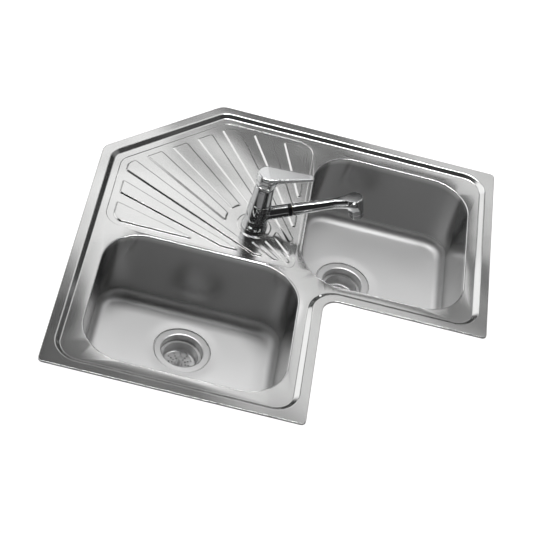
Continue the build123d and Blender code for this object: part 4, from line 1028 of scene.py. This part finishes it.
def drawn_steel(name):
    material, shader = new_material(name, (0.7, 0.7, 0.7), WALL_FINISH["Roughness"], 1.0)
    tree = material.node_tree
    lip, wall, floor = (place_group(material, satin_grain, **finish)
                        for finish in (DECK_FINISH, WALL_FINISH, FLOOR_FINISH))
    place = put(tree, "TexCoord").outputs["Object"]
    height = put(tree, "SeparateXYZ", place).outputs["Z"]
    below = [put(tree, "MapRange", named={"Value": height, "From Min": start, "From Max": end})
             .outputs["Result"] for start, end in (LIP_TO_WALL, WALL_TO_FLOOR)]

    def blend(top, middle, bottom):
        """Goes from top to middle to bottom with the height."""
        upper = put(tree, "Mix", below[0], None, top, middle).outputs[0]
        return put(tree, "Mix", below[1], None, upper, bottom).outputs[0]

    # The colour runs from the lip's, through the walls' painted shade, to the floor's.
    tree.links.new(blend(LIP_SHADE, WALL_PAINTED_SHADE, FLOOR_SHADE), shader.inputs["Base Color"])
    roughness, bump = (blend(lip[label], wall[label], floor[label])
                       for label in ("Roughness", "Height"))
    tree.links.new(roughness, shader.inputs["Roughness"])
    add_bump(material, shader, bump, 1.0)
    return material


bowl_steel = drawn_steel("bowl_steel")
print("bowl steel ready")

# %% [markdown]
# The strainer's flange and its basket are turned. Their rings are centred on each waste, so the two
# sides get a material each. The flange is rubbed matt like the floor round it, and the basket is a
# little smoother.

# %% Turned steel
RINGS_PER_METRE = 1300


def turned_steel(name, node_name, shade, roughness, bump):
    """Steel with rings round the middle of a node's box."""
    low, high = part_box(node_name)
    centre = ((low.x + high.x) / 2, (low.y + high.y) / 2, 0)
    return surface(name, (shade, shade, shade), 1.0, lathe_rings, bump, Centre=centre,
                   Rings_per_Metre=RINGS_PER_METRE, Roughness=roughness)


turned = {}
for side in SIDES:
    flange = f"{side}_strainer_flange"
    turned[flange] = turned_steel(f"{side}_flange_steel", flange, 0.78, 0.45, 0.00001)
    turned[side] = turned_steel(f"{side}_basket_steel", flange, 0.86, 0.34, 0.000006)
print("turned steels:", sorted(turned))

# %% [markdown]
# Chrome is a very smooth metal. Its reflections are what one sees, so it only gets a faint smear in
# its roughness and no bump. It mirrors little more than half of the light, so it looks darker than
# the steel round it. The lever has a softer, lighter satin chrome. Brass shows below the deck,
# where nobody polishes it.

# %% Chrome and brass
def chrome_plate(name, roughness, shade):
    return surface(name, (shade, shade * 1.01, shade * 1.015), 1.0, satin_grain, 0,
                   Stretch=(160, 160, 160), Roughness=roughness, Grain=0.02, Marks=0.05,
                   Marks_Scale=40.0)


chrome = chrome_plate("chrome", 0.06, 0.55)
satin_chrome = chrome_plate("satin_chrome", 0.2, 0.76)
brass = surface("brass", (0.78, 0.6, 0.33), 1.0, skin, 0.00002, Colour=(0.78, 0.6, 0.33, 1),
                Second_Colour=(0.66, 0.48, 0.24, 1), Pores_per_Metre=900.0, Drift_per_Metre=60.0,
                Roughness=0.32, Spread=0.3)
print("chrome and brass ready")

# %% [markdown]
# ## Materials: plastics, rubber, foam and ceramic
# They all use the skin group, with their own colours, roughness, number of pores per metre and
# depth of the bump in metres.

# %% Skinned materials
def skinned(name, colour, second, roughness, pores, bump, drift=30.0, spread=0.15):
    return surface(name, colour, 0.0, skin, bump, Colour=(*colour, 1), Second_Colour=(*second, 1),
                   Pores_per_Metre=pores, Drift_per_Metre=drift, Roughness=roughness,
                   Spread=spread)


skins = {
    "waste_plastic": ((0.80, 0.80, 0.785), (0.76, 0.76, 0.745), 0.42, 2200, 0.00003),
    "white_plastic": ((0.84, 0.84, 0.83), (0.80, 0.80, 0.79), 0.38, 2600, 0.00002),
    "black_plastic": ((0.018, 0.018, 0.019), (0.028, 0.028, 0.029), 0.3, 2600, 0.00002),
    "rubber": ((0.035, 0.035, 0.036), (0.055, 0.054, 0.053), 0.62, 1600, 0.00005),
    "foam": ((0.10, 0.10, 0.102), (0.15, 0.15, 0.15), 0.85, 900, 0.0003, 30.0, 0.05),
    "bitumen": ((0.07, 0.07, 0.072), (0.1, 0.1, 0.1), 0.8, 500, 0.0002, 18.0),
    "ceramic": ((0.84, 0.83, 0.8), (0.8, 0.79, 0.76), 0.16, 3000, 0.000005)}
finishes = {name: skinned(name, *values) for name, values in skins.items()}
print("skinned materials:", len(finishes))

# %% [markdown]
# The record names a material slot for each CAD node. We look the material up by that slot. The
# bowls and the turned pieces are the exceptions, because their finish differs from place to place.

# %% Dress the CAD nodes
finishes |= {"sink_steel": deck_steel, "chrome": chrome, "zinc_steel": zinc_steel,
             "screw_steel": screw_steel, "brass": brass}


def dress(obj, material):
    """Gives an object one material for all its faces."""
    obj.data.materials.clear()
    obj.data.materials.append(material)


for part in frame["record"]["subparts"]:
    name, slot = part["node"], part["material_slot"]
    if slot == "polished_steel":
        dress(frame["nodes"][name], turned.get(name, turned[name.split("_")[0]]))
    elif name.endswith("_bowl"):
        dress(frame["nodes"][name], bowl_steel)
    else:
        dress(frame["nodes"][name], finishes[slot])

# %% [markdown]
# The pieces that were built here are dressed in the same way.

# %% Dress the new pieces
dress(deck_sheet, deck_steel)
for sheet in bowls.values():
    dress(sheet, bowl_steel)
dress(lever, satin_chrome)
for piece in (handset, collar, base_plate, retaining_ring, nozzle_ring):
    dress(piece, chrome)
dress(docking_ring, finishes["black_plastic"])
print("dressed the new pieces")

# %% [markdown]
# ## Worktop, world and lamps
# An inset sink hangs in a hole in a worktop, which hides its underside. The stage is such a
# worktop: a wide pale sheet at z = 0 whose cut-out follows the sink's outline a little inside the
# rim. Its faces join each corner of the wide square to the corners of the cut-out beside it.

# %% Worktop sheet
WORKTOP_HALF, CUT_OUT_INSET = 25, 10


def worktop_sheet(half):
    mesh = bpy.data.meshes.new("worktop")
    edge = [(-half, -half, 0), (half, -half, 0), (half, half, 0), (-half, half, 0)]
    cut_out = [(x * MM, y * MM, 0) for x, y in sink_corners(CUT_OUT_INSET)]
    faces = [(0, 1, 5, 4), (1, 6, 5), (1, 7, 6), (1, 2, 8, 7), (2, 3, 9, 8), (3, 10, 9),
             (3, 0, 4, 10)]
    mesh.from_pydata(edge + cut_out, [], faces)
    mesh.update()
    sheet = bpy.data.objects.new("worktop", mesh)
    scene.collection.objects.link(sheet)
    return sheet


worktop = worktop_sheet(WORKTOP_HALF)
print("worktop normals up:", all(f.normal.z > 0.9 for f in worktop.data.polygons))

# %% [markdown]
# The worktop is white for the camera. Part of that white is its own glow, which only the camera
# sees, and part is lit, so it stays white and still keeps the shadow round the sink. In the steel
# it shows as a plain pale grey. From below it is see-through, so the underside can be looked at
# too.

# %% Worktop material
def worktop_paint(lit_shade, glow):
    material = bpy.data.materials.new("worktop_paint")
    material.use_nodes = True
    tree = material.node_tree
    tree.nodes.clear()
    lit = put(tree, "BsdfDiffuse", (lit_shade, lit_shade, lit_shade, 1)).outputs[0]
    glows, dark = (put(tree, "Emission", named={"Strength": s}).outputs[0] for s in (glow, 0))
    to_camera = put(tree, "LightPath").outputs["Is Camera Ray"]
    seen_glow = put(tree, "MixShader", to_camera, dark, glows).outputs[0]
    top = put(tree, "AddShader", lit, seen_glow).outputs[0]
    from_below = put(tree, "NewGeometry").outputs["Backfacing"]
    clear = put(tree, "BsdfTransparent").outputs[0]
    both_sides = put(tree, "MixShader", from_below, top, clear).outputs[0]
    put(tree, "OutputMaterial", both_sides)
    return material


dress(worktop, worktop_paint(0.5, 0.78))
print("worktop painted")

# %% [markdown]
# Steel looks like what it reflects, so the world is laid out for its mirrored directions. The room
# is dark. A broad white wall stands at the left, which the left flanks of the drainer's wedges
# mirror. It reaches round to the back left. The right and the front have only a weak glow. Each of
# these is a soft round patch of sky, given by its direction, the angle where it is full, the angle
# where it ends and its strength. There is no picture in it, only gradients by direction.

# %% World
DARK_ROOM = 0.03
PATCHES = [((-0.9, 0.3, 0.36), 28, 46, 1.15), ((0.9, 0.3, 0.35), 8, 30, 0.2),
           ((0.1, -1.0, 0.05), 4, 14, 0.3)]


def studio_world():
    world = bpy.data.worlds.new("studio")
    world.use_nodes = True
    tree = world.node_tree
    place = put(tree, "TexCoord").outputs["Generated"]
    total = DARK_ROOM
    for direction, full, end, strength in PATCHES:
        lean = put(tree, "VectorMath", place, Vector(direction).normalized(),
                   operation="DOT_PRODUCT")
        edge = put(tree, "MapRange", interpolation_type="SMOOTHSTEP",
                   named={"Value": lean.outputs["Value"], "From Min": math.cos(math.radians(end)),
                          "From Max": math.cos(math.radians(full)), "To Max": strength})
        total = put(tree, "Math", total, edge.outputs["Result"]).outputs[0]
    tree.links.new(total, tree.nodes["Background"].inputs["Color"])
    scene.world = world


studio_world()
print("world with", len(PATCHES), "patches")

# %% [markdown]
# Three soft boxes hang level over the sink. The deck is almost a mirror, so each shows in it as a
# sheen with soft edges. We give the two lines between which the sheen lies, as distances across it,
# and where it starts and ends along it, and work out where the box has to hang for that. The left
# and the middle box make the sheen over the front of the deck, the right one that over its back
# right corner, and the gap between them is the dark band across the back. A fourth box, far up and
# a little behind, lights the bowls' floors, which are matt enough to spread it towards the camera.

# %% Lamps
STRIP_HEIGHT = 1.5
ALONG_SHEEN, ACROSS_SHEEN = Vector((0.81, -0.59)), Vector((0.59, 0.81))


def soft_box(name, place, width, height, power):
    """An area lamp that shines straight down until it is turned."""
    data = bpy.data.lights.new(name, "AREA")
    data.shape = "RECTANGLE"
    data.size, data.size_y = width, height
    data.energy = power
    lamp = bpy.data.objects.new(name, data)
    lamp.location = place
    scene.collection.objects.link(lamp)
    return lamp


def strip_box(name, low, high, start, end, radiance):
    """A soft box whose mirror image in the deck lies between two lines to the front right."""
    seen = [ALONG_SHEEN * a + ACROSS_SHEEN * b
            for a, b in ((start, low), (end, low), (end, high), (start, high))]
    share = (eye.z + STRIP_HEIGHT) / eye.z
    corners = [Vector((*(eye.xy + (p - eye.xy) * share), STRIP_HEIGHT)) for p in seen]
    wide, deep = (corners[1] - corners[0]).length, (corners[3] - corners[0]).length
    lamp = soft_box(name, sum(corners, Vector()) / 4, wide, deep, radiance * math.pi * wide * deep)
    lamp.rotation_euler.z = math.atan2(ALONG_SHEEN.y, ALONG_SHEEN.x)


strip_box("left_strip", -0.31, 0.13, -0.7, -0.12, 1.15)
strip_box("middle_strip", -0.31, 0.17, -0.12, 0.6, 0.8)
strip_box("right_strip", 0.42, 0.8, -0.6, 0.6, 0.9)
overhead = soft_box("overhead_lamp", (-0.1, 0.52, 2.5), 1.7, 0.5, 38)
shines_to = Vector((-0.1, 0, 0)) - overhead.location
overhead.rotation_euler = shines_to.to_track_quat("-Z", "Y").to_euler()
print("lamps ready")
